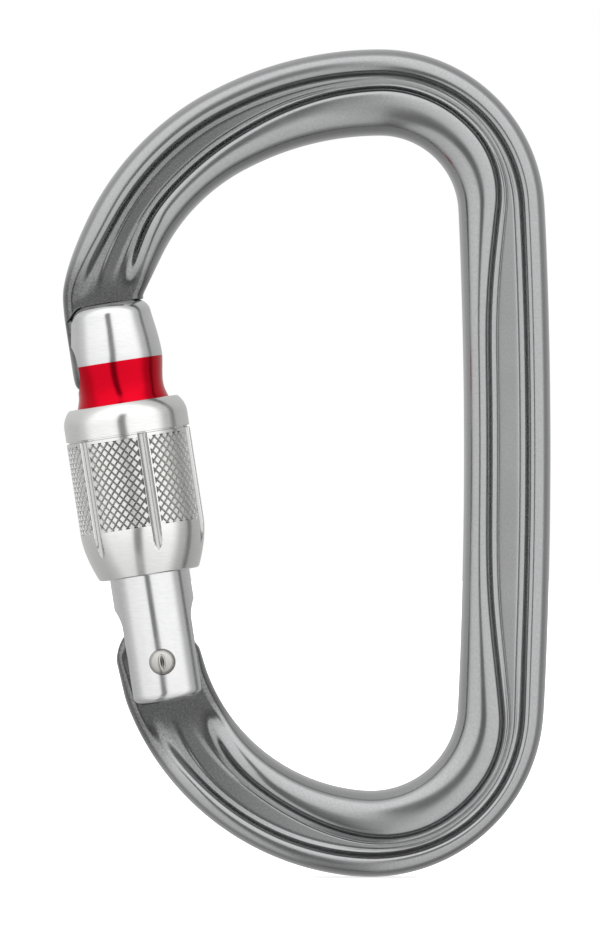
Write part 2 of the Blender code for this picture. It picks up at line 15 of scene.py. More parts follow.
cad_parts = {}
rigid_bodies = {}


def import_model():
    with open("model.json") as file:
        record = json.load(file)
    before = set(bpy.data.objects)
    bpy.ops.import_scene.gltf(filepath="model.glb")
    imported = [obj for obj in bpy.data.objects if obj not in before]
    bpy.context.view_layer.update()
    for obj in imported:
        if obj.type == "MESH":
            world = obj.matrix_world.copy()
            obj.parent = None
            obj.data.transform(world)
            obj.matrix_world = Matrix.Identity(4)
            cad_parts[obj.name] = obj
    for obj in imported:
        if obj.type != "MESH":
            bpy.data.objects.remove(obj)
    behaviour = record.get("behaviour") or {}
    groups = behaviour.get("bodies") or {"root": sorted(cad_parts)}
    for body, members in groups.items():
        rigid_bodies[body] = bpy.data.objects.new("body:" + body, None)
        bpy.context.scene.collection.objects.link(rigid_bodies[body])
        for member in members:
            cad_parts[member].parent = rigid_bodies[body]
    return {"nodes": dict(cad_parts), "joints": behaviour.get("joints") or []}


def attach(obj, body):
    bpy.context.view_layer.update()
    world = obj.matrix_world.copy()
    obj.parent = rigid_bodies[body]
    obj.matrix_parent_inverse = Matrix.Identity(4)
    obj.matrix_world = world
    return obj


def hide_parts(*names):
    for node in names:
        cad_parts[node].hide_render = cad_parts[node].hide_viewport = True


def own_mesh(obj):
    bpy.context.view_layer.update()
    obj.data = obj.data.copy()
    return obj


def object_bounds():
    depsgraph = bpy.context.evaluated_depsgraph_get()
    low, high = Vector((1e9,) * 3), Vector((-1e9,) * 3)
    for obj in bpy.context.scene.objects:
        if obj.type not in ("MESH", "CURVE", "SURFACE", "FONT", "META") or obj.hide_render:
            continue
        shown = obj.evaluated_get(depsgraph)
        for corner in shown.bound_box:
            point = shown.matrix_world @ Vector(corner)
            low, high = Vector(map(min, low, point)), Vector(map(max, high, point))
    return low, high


for leftover in list(bpy.data.objects):
    bpy.data.objects.remove(leftover)
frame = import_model()
solid_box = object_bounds()
MM = 0.001
print("solids:", ", ".join(sorted(frame["nodes"])))

# %% [markdown]
# The gate leans a little, so its pieces are easiest to draw in axes of their own: `across` points from the
# gate towards the spine, `along` points up the gate, and the pivot is zero. An object turned to match would
# do as well, but finished pieces have to sit unturned at the origin, so the points themselves are placed.
# `span` measures a solid along the gate, which places the sleeve, the band and the spring later.

# %% Axes of the gate
joints = {joint["name"]: joint for joint in frame["joints"]}
pivot = np.array([joints["gate_hinge"]["pos_m"][0], joints["gate_hinge"]["pos_m"][2]])
lean = joints["sleeve_slide"]["axis"]
along = np.array([lean[0], lean[2]]) / math.hypot(lean[0], lean[2])
across = np.array([along[1], -along[0]])


def on_plane(x, z):
    """A point of the gate's own plane, as world X and Z."""
    return pivot + across * x + along * z


def in_gate(x, y, z):
    """A point in the gate's axes, in the world."""
    flat = on_plane(x, z)
    return (flat[0], y, flat[1])


def span(node):
    """Lowest and highest reach of a solid along the gate, from the pivot."""
    points = np.array([corner.co[:] for corner in frame["nodes"][node].data.vertices])
    heights = (points[:, [0, 2]] - pivot) @ along
    return float(heights.min()), float(heights.max())


gate_tail, gate_top = span("gate_barrel")
print(f"gate: {gate_tail / MM:.1f} to {gate_top / MM:.1f} mm along its axis")

# %% [markdown]
# The frame is a forged bar bent to a D. Its middle line is a chain of arcs, walked from the top of the bow
# to the nose and from the top round to the hinge. A spline through clicked points would do as well, but
# arcs have radii that a maker can name and check against the real thing. A bow is a radius and a sweep.

# %% Middle line of the frame
FRAME_WIDTH = 11.8 * MM
TOP_BOW = (44.0 * MM, 28.4)
TOP_BOW_STEPS = 7
SHOULDER = (32.2 * MM, 36.0)
SHOULDER_STEPS = 12
TOP_CORNER_RADIUS = 16.5 * MM
SPINE_LENGTH = 68.0 * MM
SPINE_BOW_RADIUS = 700.0 * MM
SPINE_STEPS = 9
SPINE_LEAN = 2.7
BOTTOM_CORNER_RADIUS = 17.7 * MM
BOTTOM_CORNER_OVERRUN = 4.0
CORNER_STEPS = 14
BOTTOM_BOW = (30.4 * MM, 66.0)
BOTTOM_BOW_STEPS = 15


def walk(point, heading, radius, sweep, steps):
    """Points and headings along an arc, after its start. A positive sweep turns left."""
    turn = math.radians(sweep) / steps
    chord = 2 * radius * math.sin(abs(turn) / 2)
    stops = []
    for _ in range(steps):
        middle = heading + turn / 2
        point = point + chord * np.array([math.cos(middle), math.sin(middle)])
        heading = heading + turn
        stops.append((point, heading))
    return stops


bow_top = np.array([0.0, FRAME_WIDTH / 2])
left_run = [(bow_top, math.pi)]
left_run += walk(*left_run[-1], *TOP_BOW, TOP_BOW_STEPS)
left_run += walk(*left_run[-1], *SHOULDER, SHOULDER_STEPS)
spine_turn = math.degrees(SPINE_LENGTH / SPINE_BOW_RADIUS)
right_run = walk(bow_top, 0.0, TOP_CORNER_RADIUS, SPINE_LEAN - 90, CORNER_STEPS)
right_run += walk(*right_run[-1], SPINE_BOW_RADIUS, -spine_turn, SPINE_STEPS)
bottom_turn = 180 + math.degrees(right_run[-1][1]) + BOTTOM_CORNER_OVERRUN
right_run += walk(*right_run[-1], BOTTOM_CORNER_RADIUS, -bottom_turn, CORNER_STEPS)
right_run += walk(*right_run[-1], BOTTOM_BOW[0], -BOTTOM_BOW[1], BOTTOM_BOW_STEPS)
print(f"middle line: {len(left_run) + len(right_run)} stops")

# %% [markdown]
# The section is what makes the bar look forged: a rounded bead along each edge, a steep wall behind each
# bead, and a flat web between the walls. It could be cut into a plain bar, but a section made of points can
# change all the way along. A bead is highest at its crest, a share of the way to its wall. Its fullness
# makes it squarer than an ellipse. Close pairs of loops hold the walls and the lips crisp when the cage is
# subdivided later: each loop is millimetres past the wall and a share of the bead's rise.

# %% Section of the frame
BEAD_HALF_HEIGHT = 5.3 * MM
WEB_HALF_THICKNESS = 2.5 * MM
PLATE_EDGE = 1.1 * MM
INNER_BEAD = {"crest": 0.56, "fullness": 0.45, "plateau": 0.99, "top_round": 1.0}
OUTER_BEAD = {"crest": 0.64, "fullness": 0.9, "plateau": 1.0, "top_round": 0.55}
BEAD_STEPS = 4
WALL_LOOPS = ((-0.52, 0.95), (-0.22, 0.82), (0.0, 0.45), (0.16, 0.15), (0.38, 0.03), (0.75, 0.0))
LIP_LOOPS = ((0.91, -0.035), (1.05, -0.035), (1.17, 0.0), (1.37, 0.0))
WALL_ROOM = 1.45 * MM


def smooth(value):
    """An S-shaped ease from 0 to 1."""
    value = min(max(value, 0.0), 1.0)
    return value * value * (3 - 2 * value)


def half_section(width, inner_wall, outer_wall, inner_fade, outer_fade, half):
    """Upper half of the section from the inner to the outer edge, as (distance, height)."""
    points = []
    loop_count = len(WALL_LOOPS) + len(LIP_LOOPS) + 1
    spots = np.linspace(PLATE_EDGE, width - PLATE_EDGE, 2 * loop_count + 2)[1:]
    squeeze = min(1.0, (width - inner_wall - outer_wall) / 2 / WALL_ROOM)
    lip_share = smooth(3 * squeeze - 2)
    rise = BEAD_HALF_HEIGHT - half
    beads = ((INNER_BEAD, inner_wall, inner_fade), (OUTER_BEAD, outer_wall, outer_fade))
    for bead, wall, fade in beads:
        summit = bead["crest"] * wall
        crest = PLATE_EDGE + fade * (summit - PLATE_EDGE)
        height = half + fade * rise
        power = 2 / (2 + bead["fullness"] * fade)
        side = []
        for step in range(BEAD_STEPS + 1):
            angle = math.radians(90 * step / BEAD_STEPS)
            distance = crest * (1 - math.cos(angle) ** power)
            side.append((distance, height * math.sin(angle) ** power))
        rim = wall + WALL_LOOPS[0][0] * bead["top_round"] * MM
        loops = [((summit + rim) / 2, rise * bead["plateau"])]
        for past, lift in WALL_LOOPS:
            stretch = squeeze if past > 0 else bead["top_round"]
            loops.append((wall + past * MM * stretch, rise * lift))
        for past, lift in LIP_LOOPS:
            loops.append((wall + past * MM * squeeze, rise * lift * lip_share))
        for spot, (distance, lift) in zip(spots, loops):
            side.append((spot + fade * (distance - spot), half + fade * lift))
        if bead is OUTER_BEAD:
            side = [(width - distance, y) for distance, y in reversed(side)]
        points += side
    return points


def plate(width, half):
    """A flat section with round edges and no beads."""
    return half_section(width, PLATE_EDGE, PLATE_EDGE, 0, 0, half)


print(f"section: {2 * len(plate(FRAME_WIDTH, WEB_HALF_THICKNESS)) - 2} points round")

# %% [markdown]
# A bead can't run on under the gate, so at the nose and at the lug it sinks into a flat plate. Each row of
# the bar asks how far its two edges are from the hinge, and gets a fade from 0, a plate, to 1, a full bead.
# Measured from the hinge, the beads stay clear of the gate at every angle that it swings to.

# %% Run-out of the beads
CLEARANCE = 0.33 * MM
BARREL_RADIUS = 5.45 * MM
GATE_TIP_RADIUS = 5.45 * MM
NOSE_PLATE = 1.7 * MM
NOSE_BEAD_ENDS = (8.0 * MM, 13.0 * MM)
LUG_PLATE = 3.7 * MM
LUG_BEAD_END = 10.0 * MM
SPINE_SIDE = 10.0 * MM
swing_top = math.hypot(gate_top, GATE_TIP_RADIUS) + 2 * CLEARANCE
swing_tail = math.hypot(gate_tail, BARREL_RADIUS) + CLEARANCE


def bead_fades(inner, outer):
    """How far the beads stand up at a row's inner and outer edge."""
    found = []
    for edge, nose_end in zip((inner, outer), NOSE_BEAD_ENDS):
        from_pivot = edge - pivot
        distance = float(np.linalg.norm(from_pivot))
        by_nose = float(from_pivot @ along) > gate_top / 2
        by_spine = float(from_pivot @ across) > SPINE_SIDE
        start = swing_top + NOSE_PLATE if by_nose else swing_tail + LUG_PLATE
        length = nose_end if by_nose else LUG_BEAD_END
        run_out = 1 - min(max((distance - start) / length, 0.0), 1.0)
        found.append(1.0 if by_nose and by_spine else 1 - run_out**2)
    return found


print(f"gate's swing: {swing_top / MM:.1f} mm at the nose, {swing_tail / MM:.1f} mm at the tail")

# %% [markdown]
# The nose carries a key: a round head on a narrower neck, which the gate's slot closes round. Its rows lie
# on circles about the hinge, so that the gate can swing off it. Behind the neck is the nose's shoulder,
# which dips on its outer side over the round edge of the gate's cap. The key could be a solid of its own,
# but rows that run on into the bar leave no seam to hide.

# %% Nose key
KEY_HEAD_RADIUS = 3.1 * MM
KEY_NECK_HALF = 1.6 * MM
KEY_LENGTH = 11.1 * MM
KEY_OUTER = 6.15 * MM
KEY_INNER = 2.2 * MM
KEY_TURNS = (14, 26, 44, 65, 90, 115, 138)
KEY_TIP_INSET = 0.9 * MM
KEY_TIP_LENGTH = 1.4 * MM
NECK_FILLET = 0.3 * MM
NECK_STEPS = (0.0, 0.4 * MM, 1.2 * MM)
NOSE_ROOT_INNER = 4.9 * MM
GATE_TIP_GAP = 0.4 * MM
ROOT_STEP = -0.35 * MM
SHOULDER_DIP = 1.5 * MM
SHOULDER_START = 3.9 * MM
SHOULDER_DROPS = (0.5 * MM, 0.15 * MM)
SHOULDER_LIFTS = (0.0, 0.25 * MM, 0.6 * MM)
key_root = gate_top + GATE_TIP_GAP
key_middle = key_root - KEY_LENGTH + KEY_HEAD_RADIUS
shoulder_foot = key_root + ROOT_STEP


def arc_row(inner_x, outer_x, radius, dip=0.0):
    """A row on a circle about the pivot. Past SHOULDER_START it dips towards its outer edge."""

    def place(share):
        x = inner_x + (outer_x - inner_x) * share
        drop = dip * smooth((-x - SHOULDER_START) / (KEY_OUTER - SHOULDER_START))
        return on_plane(x, math.sqrt(radius**2 - x**2) - drop)

    return place


rows = []
for turn in KEY_TURNS:
    lift = -KEY_HEAD_RADIUS * math.cos(math.radians(turn))
    half = KEY_HEAD_RADIUS * math.sin(math.radians(turn))
    into = min((lift + KEY_HEAD_RADIUS) / KEY_TIP_LENGTH, 1.0)
    inset = KEY_TIP_INSET * (1 - math.sqrt(1 - (1 - into) ** 2))
    row = arc_row(KEY_INNER - inset, inset - KEY_OUTER, key_middle + lift)
    rows.append((row, plate(KEY_OUTER + KEY_INNER - 2 * inset, half)))
neck_foot = key_middle + math.sqrt(KEY_HEAD_RADIUS**2 - KEY_NECK_HALF**2) + NECK_FILLET
neck_plate = plate(KEY_INNER + KEY_OUTER, KEY_NECK_HALF)
for step in NECK_STEPS:
    rows.append((arc_row(KEY_INNER, -KEY_OUTER, neck_foot + step), neck_plate))
for drop in SHOULDER_DROPS:
    rows.append((arc_row(KEY_INNER, -KEY_OUTER, shoulder_foot - drop, SHOULDER_DIP), neck_plate))
root_plate = plate(NOSE_ROOT_INNER + KEY_OUTER, WEB_HALF_THICKNESS)
for lift in SHOULDER_LIFTS:
    rows.append((arc_row(NOSE_ROOT_INNER, -KEY_OUTER, shoulder_foot + lift, SHOULDER_DIP), root_plate))
print(f"nose: {len(rows)} rows")

# %% [markdown]
# Now the rows of the bar are set out in order: over the bend of the nose, round the bow, down the spine and
# round the bottom. The inner bead is wide on the bows, where a rope runs, and narrow on the spine. A few
# keys say how far each wall stands from its edge, in millimetres along the bar and across it, and the rows
# between two keys are eased. Keys are easier to move than a curve drawn for each wall.

# %% Rows round the bar
NOSE_ROOT_WIDTH = 11.3 * MM
BEND_STOPS = (0.84, 0.67, 0.5, 0.33, 0.16)
BEND_REACH = (0.2, 0.9)
INNER_WALL = ((8, 3.8), (18, 3.9), (52, 6.35), (65, 6.35), (91, 3.45), (122, 3.45))
INNER_WALL += ((153, 6.75), (161, 6.75), (190, 4.2))
OUTER_WALL = ((22, 3.5), (50, 3.35), (70, 3.1), (136, 3.1), (156, 2.6), (172, 3.0))
walked = [0.0]
middles = []


def edges(point, heading, width, side):
    """The bar's inner and outer edge beside a point of the middle line."""
    outward = side * np.array([math.sin(heading), -math.cos(heading)])
    return point - outward * width / 2, point + outward * width / 2


def straight_row(inner, outer):
    """A row straight across the bar."""
    return lambda share: inner + (outer - inner) * share


def wall_distance(keys, station):
    """How far a wall stands from its edge: eased from one key to the next along the bar."""
    stations, distances = zip(*keys)
    k = min(max(int(np.searchsorted(stations, station)), 1), len(keys) - 1)
    share = (station - stations[k - 1]) / (stations[k] - stations[k - 1])
    return (distances[k - 1] + (distances[k] - distances[k - 1]) * smooth(share)) * MM


def add_bar_row(inner, outer):
    """One row of the bar, with its walls where the keys put them this far along."""
    middles.append((inner + outer) / 2)
    if len(middles) > 1:
        walked.append(walked[-1] + float(np.linalg.norm(middles[-1] - middles[-2])))
    walls = [wall_distance(keys, walked[-1] / MM) for keys in (INNER_WALL, OUTER_WALL)]
    width = float(np.linalg.norm(outer - inner))
    section = half_section(width, *walls, *bead_fades(inner, outer), WEB_HALF_THICKNESS)
    rows.append((straight_row(inner, outer), section))


root_radius = shoulder_foot + SHOULDER_LIFTS[-1]
root_in = on_plane(NOSE_ROOT_INNER, math.sqrt(root_radius**2 - NOSE_ROOT_INNER**2))
root_out = on_plane(-KEY_OUTER, math.sqrt(root_radius**2 - KEY_OUTER**2))
bow_in, bow_out = edges(*left_run[-1], NOSE_ROOT_WIDTH, 1)
bow_heading = left_run[-1][1]
bow_direction = np.array([math.cos(bow_heading), math.sin(bow_heading)])
bend = root_out - bow_out
bend_length = float(np.linalg.norm(bend))
bend_reach = float(bend @ across) / float(bow_direction @ across)
bend_reach = min(max(bend_reach, BEND_REACH[0] * bend_length), BEND_REACH[1] * bend_length)
bend_corner = bow_out + bow_direction * bend_reach
for t in BEND_STOPS:
    outer = bow_out * (1 - t) ** 2 + bend_corner * 2 * t * (1 - t) + root_out * t**2
    add_bar_row(bow_in + (root_in - bow_in) * t, outer)
last_stop = len(left_run) - 1
for stop in range(last_stop, -1, -1):
    width = FRAME_WIDTH + (NOSE_ROOT_WIDTH - FRAME_WIDTH) * smooth(stop / last_stop)
    add_bar_row(*edges(*left_run[stop], width, 1))
for point, heading in right_run:
    add_bar_row(*edges(point, heading, FRAME_WIDTH, -1))
print(f"bar: {len(rows)} rows, {walked[-1] / MM:.0f} mm from the nose to the lug")

# %% [markdown]
# At the other end is the hinge lug. Its rim is a cam, an angle and a radius for each key, which pushes the
# spring's plunger up as the gate opens. The lug's rows blend from the end of the bar to that rim, and the
# last ones grow thinner to round its edge. A flat cut-out would be quicker, but it would leave a joint.

# %% Hinge lug
LUG_OUTER = 6.3 * MM
LUG_INNER = 5.3 * MM
CAM_REST = 5.0 * MM
CAM_RISE = 1.0 * MM
GATE_OPEN = joints["gate_hinge"]["range_deg"][1]
CAM_KEYS = (
    (8.0, LUG_INNER),
    (30.0, LUG_INNER - 0.3 * MM),
    (90.0 - GATE_OPEN, CAM_REST + CAM_RISE),
    (90.0, CAM_REST),
    (112.0, CAM_REST + 0.25 * MM),
    (140.0, LUG_OUTER),
    (172.0, LUG_OUTER),
)
LUG_STEPS = ((0.3, 0.0), (0.6, 0.0), (0.8, 0.0), (0.9, 0.1), (0.97, 0.4), (1.0, 0.95))
lug_base = straight_row(*edges(*right_run[-1], FRAME_WIDTH, -1))


def cam_point(share):
    """A point of the lug's rim, a share of the way from its inner to its outer side."""
    angle = CAM_KEYS[0][0] + (CAM_KEYS[-1][0] - CAM_KEYS[0][0]) * share
    radius = CAM_KEYS[-1][1]
    for (a0, r0), (a1, r1) in zip(CAM_KEYS, CAM_KEYS[1:]):
        if a0 <= angle <= a1:
            radius = r0 + (r1 - r0) * smooth((angle - a0) / (a1 - a0))
            break
    return on_plane(radius * math.cos(math.radians(angle)), radius * math.sin(math.radians(angle)))


def lug_row(blend):
    """A row between the end of the bar and the rim."""
    return lambda share: lug_base(share) * (1 - blend) + cam_point(share) * blend


for blend, inset in LUG_STEPS:
    rows.append((lug_row(blend), plate(FRAME_WIDTH, WEB_HALF_THICKNESS - inset * MM)))
print(f"whole bar: {len(rows)} rows")

# %% [markdown]
# The rows become rings, and the rings a cage: the near half of each ring is the section, the far half its
# mirror image. `skin` lays quads between rings of points, and every lofted or turned piece here is made
# with it. A bevelled curve could sweep a section too, but only one that stays the same all the way. Strips
# of quads from side to side close the ends, because subdivision would pinch one big face.


# %% Cage of the frame
def new_piece(name, maker):
    """An object from a bmesh whose faces are turned outwards."""
    bmesh.ops.recalc_face_normals(maker, faces=maker.faces)
    mesh = bpy.data.meshes.new(name)
    maker.to_mesh(mesh)
    maker.free()
    piece = bpy.data.objects.new(name, mesh)
    bpy.context.scene.collection.objects.link(piece)
    return piece


def close_strip(maker, ring):
    """Closes an end whose ring is mirrored: quads from each point of one half to its twin."""
    count = len(ring)
    for k in range(count // 2):
        loop = []
        for corner in (ring[k], ring[k + 1], ring[(count - k - 1) % count], ring[(count - k) % count]):
            if corner not in loop:
                loop.append(corner)
        if len(loop) > 2:
            maker.faces.new(loop)


def skin(rings, ends="open"):
    """Quads between rings of points. Ends are open, flat faces, or strips across a mirrored ring."""
    maker = bmesh.new()
    corners = [[maker.verts.new(point) for point in ring] for ring in rings]
    count = len(rings[0])
    for near, far in zip(corners, corners[1:]):
        for k in range(count):
            after = (k + 1) % count
            maker.faces.new((near[k], near[after], far[after], far[k]))
    for ring in (corners[0], corners[-1]):
        if ends == "flat":
            maker.faces.new(ring)
        elif ends == "strip":
            close_strip(maker, ring)
    return maker


rings = []
for place, section in rows:
    width = section[-1][0]
    near = []
    for distance, height in section:
        x, z = place(distance / width)
        near.append((x, -height, z))
    rings.append(near + [(x, -y, z) for x, y, z in reversed(near[1:-1])])
frame_body = new_piece("frame_forging", skin(rings, ends="strip"))
ring_size = len(rings[0])
print(f"cage: {len(rings)} rings of {ring_size} points")

# %% [markdown]
# The flat plates by the gate, the steep walls and the web near the nose get painted shade: a darker grey in
# their colour than the beads, standing in for the dark surroundings that these faces reflect and the shade
# in the channels. A number on each point of the cage says how dark it is painted there, and the finish reads
# it later. A painted picture would need a map, where an attribute stays with the surface when the cage is
# subdivided.

# %% Painted shade of the frame
WALL_SHADE = {7: 0.12, 8: 0.48, 9: 0.36}
WEB_SHADE = 0.7
WEB_SHADE_START = -6.0 * MM
WEB_SHADE_END = -26.0 * MM
PLATE_FADE = 1.4


def shade(stand, loop, x):
    """How dark a point of the cage is painted, from its bead's height, its loop counted from the edge, and
    its X.
    """
    dark = WALL_SHADE.get(loop, 0.0) * stand
    if loop > max(WALL_SHADE):
        dark = WEB_SHADE * smooth((x - WEB_SHADE_START) / (WEB_SHADE_END - WEB_SHADE_START))
    return max(1 - smooth(stand * PLATE_FADE), dark)


# painted shade: each point's darkness goes into the plate attribute, which the frame's finish reads
painted_shade = frame_body.data.attributes.new("plate", "FLOAT", "POINT")
for k, (_, section) in enumerate(rows):
    tallest = max(height for _, height in section)
    stand = (tallest - WEB_HALF_THICKNESS) / (BEAD_HALF_HEIGHT - WEB_HALF_THICKNESS)
    for spot, point in enumerate(rings[k]):
        from_inner = min(spot, ring_size - spot)
        loop = min(from_inner, len(section) - 1 - from_inner)
        painted_shade.data[k * ring_size + spot].value = shade(stand, loop, point[0])
dark_points = sum(mark.value > 0.5 for mark in painted_shade.data)
print(f"shade: {dark_points} of {len(painted_shade.data)} points are more than half dark")

# %% [markdown]
# Two levels of subdivision turn the cage into the flowing surface of a forging. Sculpting could give the
# same softness, but a cage is made of sizes that can be changed one at a time. The hole for the rivet is
# cut afterwards, so that its edge stays sharp. The export bakes each object as a plain mesh at the origin,
# so modifiers are applied at once. Shading stays smooth up to a crease angle.

# %% Frame piece
RIVET_RADIUS = 1.8 * MM
THROUGH_FRAME = 8.0 * MM


def apply_modifiers(piece):
    """Puts a plain mesh with the modifiers applied in place of the piece's own."""
    graph = bpy.context.evaluated_depsgraph_get()
    mesh = bpy.data.meshes.new_from_object(piece.evaluated_get(graph))
    piece.modifiers.clear()
    old = piece.data
    piece.data = mesh
    bpy.data.meshes.remove(old)
    mesh.name = piece.name


def finish_mesh(piece, crease=32):
    """Applies the modifiers and shades the mesh smooth up to the crease angle."""
    apply_modifiers(piece)
    for face in piece.data.polygons:
        face.use_smooth = True
    piece.data.set_sharp_from_angle(angle=math.radians(crease))
    print(f"{piece.name}: {len(piece.data.polygons)} faces")
    return piece


def cut(piece, cutter):
    """Takes the cutter's solid out of the piece, now, and removes the cutter."""
    change = piece.modifiers.new("cut", "BOOLEAN")
    change.operation = "DIFFERENCE"
    change.solver = "EXACT"
    change.object = cutter
    apply_modifiers(piece)
    bpy.data.objects.remove(cutter)


def pin(radius, half_length, sides=48):
    """Rings of a plain pin along Y through the pivot."""
    rings = []
    for y in (-half_length, half_length):
        turns = [2 * math.pi * k / sides for k in range(sides)]
        rings.append([in_gate(radius * math.cos(a), y, radius * math.sin(a)) for a in turns])
    return rings


rounding = frame_body.modifiers.new("rounding", "SUBSURF")
rounding.levels = 2
rounding.render_levels = 2
finish_mesh(frame_body, crease=60)
cut(frame_body, new_piece("rivet_hole", skin(pin(RIVET_RADIUS + CLEARANCE / 2, THROUGH_FRAME), ends="flat")))
finish_mesh(frame_body, crease=50)

# %% [markdown]
# The gate is a turned bar with a round tail, a thread seat under the sleeve, a waist under the red band and
# a nose cap that tapers to a round end. Waist and cap are one smooth curve through a few heights and radii,
# because a chain of straight cones would show its corners in the polish.

# %% Waist of the gate
NECK_RADIUS = 5.75 * MM
GATE_NOSE_RADIUS = 6.25 * MM
TIP_ROUND = 1.9 * MM
sleeve_foot, sleeve_top = span("lock_sleeve")
sleeve_travel = joints["sleeve_slide"]["range_m"][1]
red_top = sleeve_top + sleeve_travel
cap_end = gate_top - TIP_ROUND
WAIST = (
    (sleeve_top, GATE_NOSE_RADIUS),
    (sleeve_top + 0.5 * MM, GATE_NOSE_RADIUS - 0.16 * MM),
    (sleeve_top + 1.3 * MM, NECK_RADIUS + 0.12 * MM),
    (sleeve_top + 2.1 * MM, NECK_RADIUS + 0.05 * MM),
    (sleeve_top + 3.4 * MM, NECK_RADIUS + 0.17 * MM),
    (red_top - 1.0 * MM, GATE_NOSE_RADIUS - 0.13 * MM),
    (red_top, GATE_NOSE_RADIUS),
    (red_top + 2.2 * MM, GATE_NOSE_RADIUS - 0.1 * MM),
    (cap_end, GATE_TIP_RADIUS + 0.15 * MM),
)


def waist_radius(height):
    """A smooth curve through the waist's points: a cubic between each two of them."""
    heights, radii = zip(*WAIST)
    slopes = np.gradient(radii, heights)
    k = min(max(int(np.searchsorted(heights, height)) - 1, 0), len(WAIST) - 2)
    step = heights[k + 1] - heights[k]
    share = (height - heights[k]) / step
    start_weight = 2 * share**3 - 3 * share**2 + 1
    start_slope = share**3 - 2 * share**2 + share
    end_weight = -2 * share**3 + 3 * share**2
    end_slope = share**3 - share**2
    bend = step * (start_slope * slopes[k] + end_slope * slopes[k + 1])
    return start_weight * radii[k] + end_weight * radii[k + 1] + bend


print(f"waist: {len(WAIST)} points on the curve, red band {(red_top - sleeve_top) / MM:.1f} mm high")

# %% [markdown]
# The profile is a list of radii and heights from the tail to the tip, and turning it about the leaning axis
# makes the bar. A Screw modifier could turn it as well, but rings put every point in its place at once.

# %% Gate profile
THREAD_RADIUS = 6.3 * MM
THREAD_CHAMFER = 0.4 * MM
THREAD_END = 0.5 * MM
TAIL_ROUND = 1.3 * MM
TAIL_DROP = 0.7 * MM
TAIL_STEPS = 8
TIP_STEPS = 10
BAND_STEPS = 20
CAP_STEPS = 12
GATE_SIDES = 120
ring_foot, ring_head = span("stop_ring")
thread_foot = ring_head + sleeve_travel + CLEARANCE
tail = gate_tail - TAIL_DROP
profile = []
for k in range(TAIL_STEPS + 1):
    turn = math.radians(90 * k / TAIL_STEPS)
    radius = BARREL_RADIUS - TAIL_ROUND * (1 - math.sin(turn))
    profile.append((radius, tail + TAIL_ROUND * (1 - math.cos(turn))))
profile.append((BARREL_RADIUS, thread_foot - THREAD_CHAMFER))
profile.append((THREAD_RADIUS, thread_foot + THREAD_CHAMFER))
profile.append((THREAD_RADIUS, sleeve_top - THREAD_END))
for height in np.linspace(sleeve_top, red_top, BAND_STEPS):
    profile.append((waist_radius(float(height)), float(height)))
for height in np.linspace(red_top, cap_end, CAP_STEPS)[1:]:
    profile.append((waist_radius(float(height)), float(height)))
cap_end_radius = profile[-1][0]
for k in range(1, TIP_STEPS + 1):
    turn = math.radians(90 * k / TIP_STEPS)
    radius = cap_end_radius - TIP_ROUND * (1 - math.cos(turn))
    profile.append((radius, gate_top - TIP_ROUND * (1 - math.sin(turn))))


def turned(outline, sides):
    """Rings about the gate's axis from (radius, height) points."""
    rings = []
    for radius, height in outline:
        ring = []
        for k in range(sides):
            angle = 2 * math.pi * k / sides
            ring.append(in_gate(radius * math.sin(angle), -radius * math.cos(angle), height))
        rings.append(ring)
    return rings


gate = new_piece("gate_bar", skin(turned(profile, GATE_SIDES), ends="flat"))
print(f"gate profile: {len(profile)} points")

# %% [markdown]
# Four cuts shape the turned bar: a keyhole slot for the nose key, a fork for the lug, a bore for the spring
# and a hole for the rivet. The real bar is milled and drilled in the same way. The slot's walls lie on
# circles about the hinge, as the key's do, so that the gate swings off the key without touching it.

# %% Gate piece
PLUNGER_RADIUS = 1.7 * MM
KEYHOLE_STEPS = 32
SLOT_STEPS = 17
FORK_STEPS = 24
BORE_SIDES = 40
ABOVE_GATE = 4.0 * MM
PAST_NOSE = 3.0 * MM
BELOW_GATE = 3.0 * MM
THROUGH_GATE = 9.0 * MM
RIVET_SQUEEZE = 0.02 * MM
spring_foot, spring_head = span("gate_spring")
slot_head = KEY_HEAD_RADIUS + CLEARANCE
slot_neck = KEY_NECK_HALF + CLEARANCE
meet = math.asin(slot_neck / slot_head)
keyhole = [(-slot_neck, gate_top + ABOVE_GATE)]
for k in range(KEYHOLE_STEPS + 1):
    angle = math.pi - meet + (2 * meet - 2 * math.pi) * k / KEYHOLE_STEPS
    keyhole.append((-slot_head * math.sin(angle), key_middle - slot_head * math.cos(angle)))
keyhole.append((slot_neck, gate_top + ABOVE_GATE))
slot_rings = []
for x in np.linspace(KEY_INNER + CLEARANCE, -GATE_NOSE_RADIUS - PAST_NOSE, SLOT_STEPS):
    slot_rings.append([in_gate(float(x), y, math.sqrt(rho**2 - float(x) ** 2)) for y, rho in keyhole])
cut(gate, new_piece("keyhole_slot", skin(slot_rings, ends="flat")))

fork_half = WEB_HALF_THICKNESS + CLEARANCE
fork_crown = fork_half - math.sqrt(fork_half**2 - WEB_HALF_THICKNESS**2)
fork_end = CAM_REST + CAM_RISE + CLEARANCE + fork_crown
fork = [(-fork_half, gate_tail - BELOW_GATE)]
for k in range(FORK_STEPS + 1):
    angle = math.pi - math.pi * k / FORK_STEPS
    fork.append((fork_half * math.cos(angle), fork_end - fork_half + fork_half * math.sin(angle)))
fork.append((fork_half, gate_tail - BELOW_GATE))
fork_rings = [[in_gate(x, y, z) for y, z in fork] for x in (-THROUGH_GATE, THROUGH_GATE)]
cut(gate, new_piece("fork_slot", skin(fork_rings, ends="flat")))

bore_radius = PLUNGER_RADIUS + CLEARANCE
bore = [(bore_radius, 0.0), (bore_radius, spring_head + CLEARANCE)]
cut(gate, new_piece("spring_bore", skin(turned(bore, BORE_SIDES), ends="flat")))
cut(gate, new_piece("gate_hole", skin(pin(RIVET_RADIUS - RIVET_SQUEEZE, THROUGH_GATE), ends="flat")))
finish_mesh(gate, crease=30)

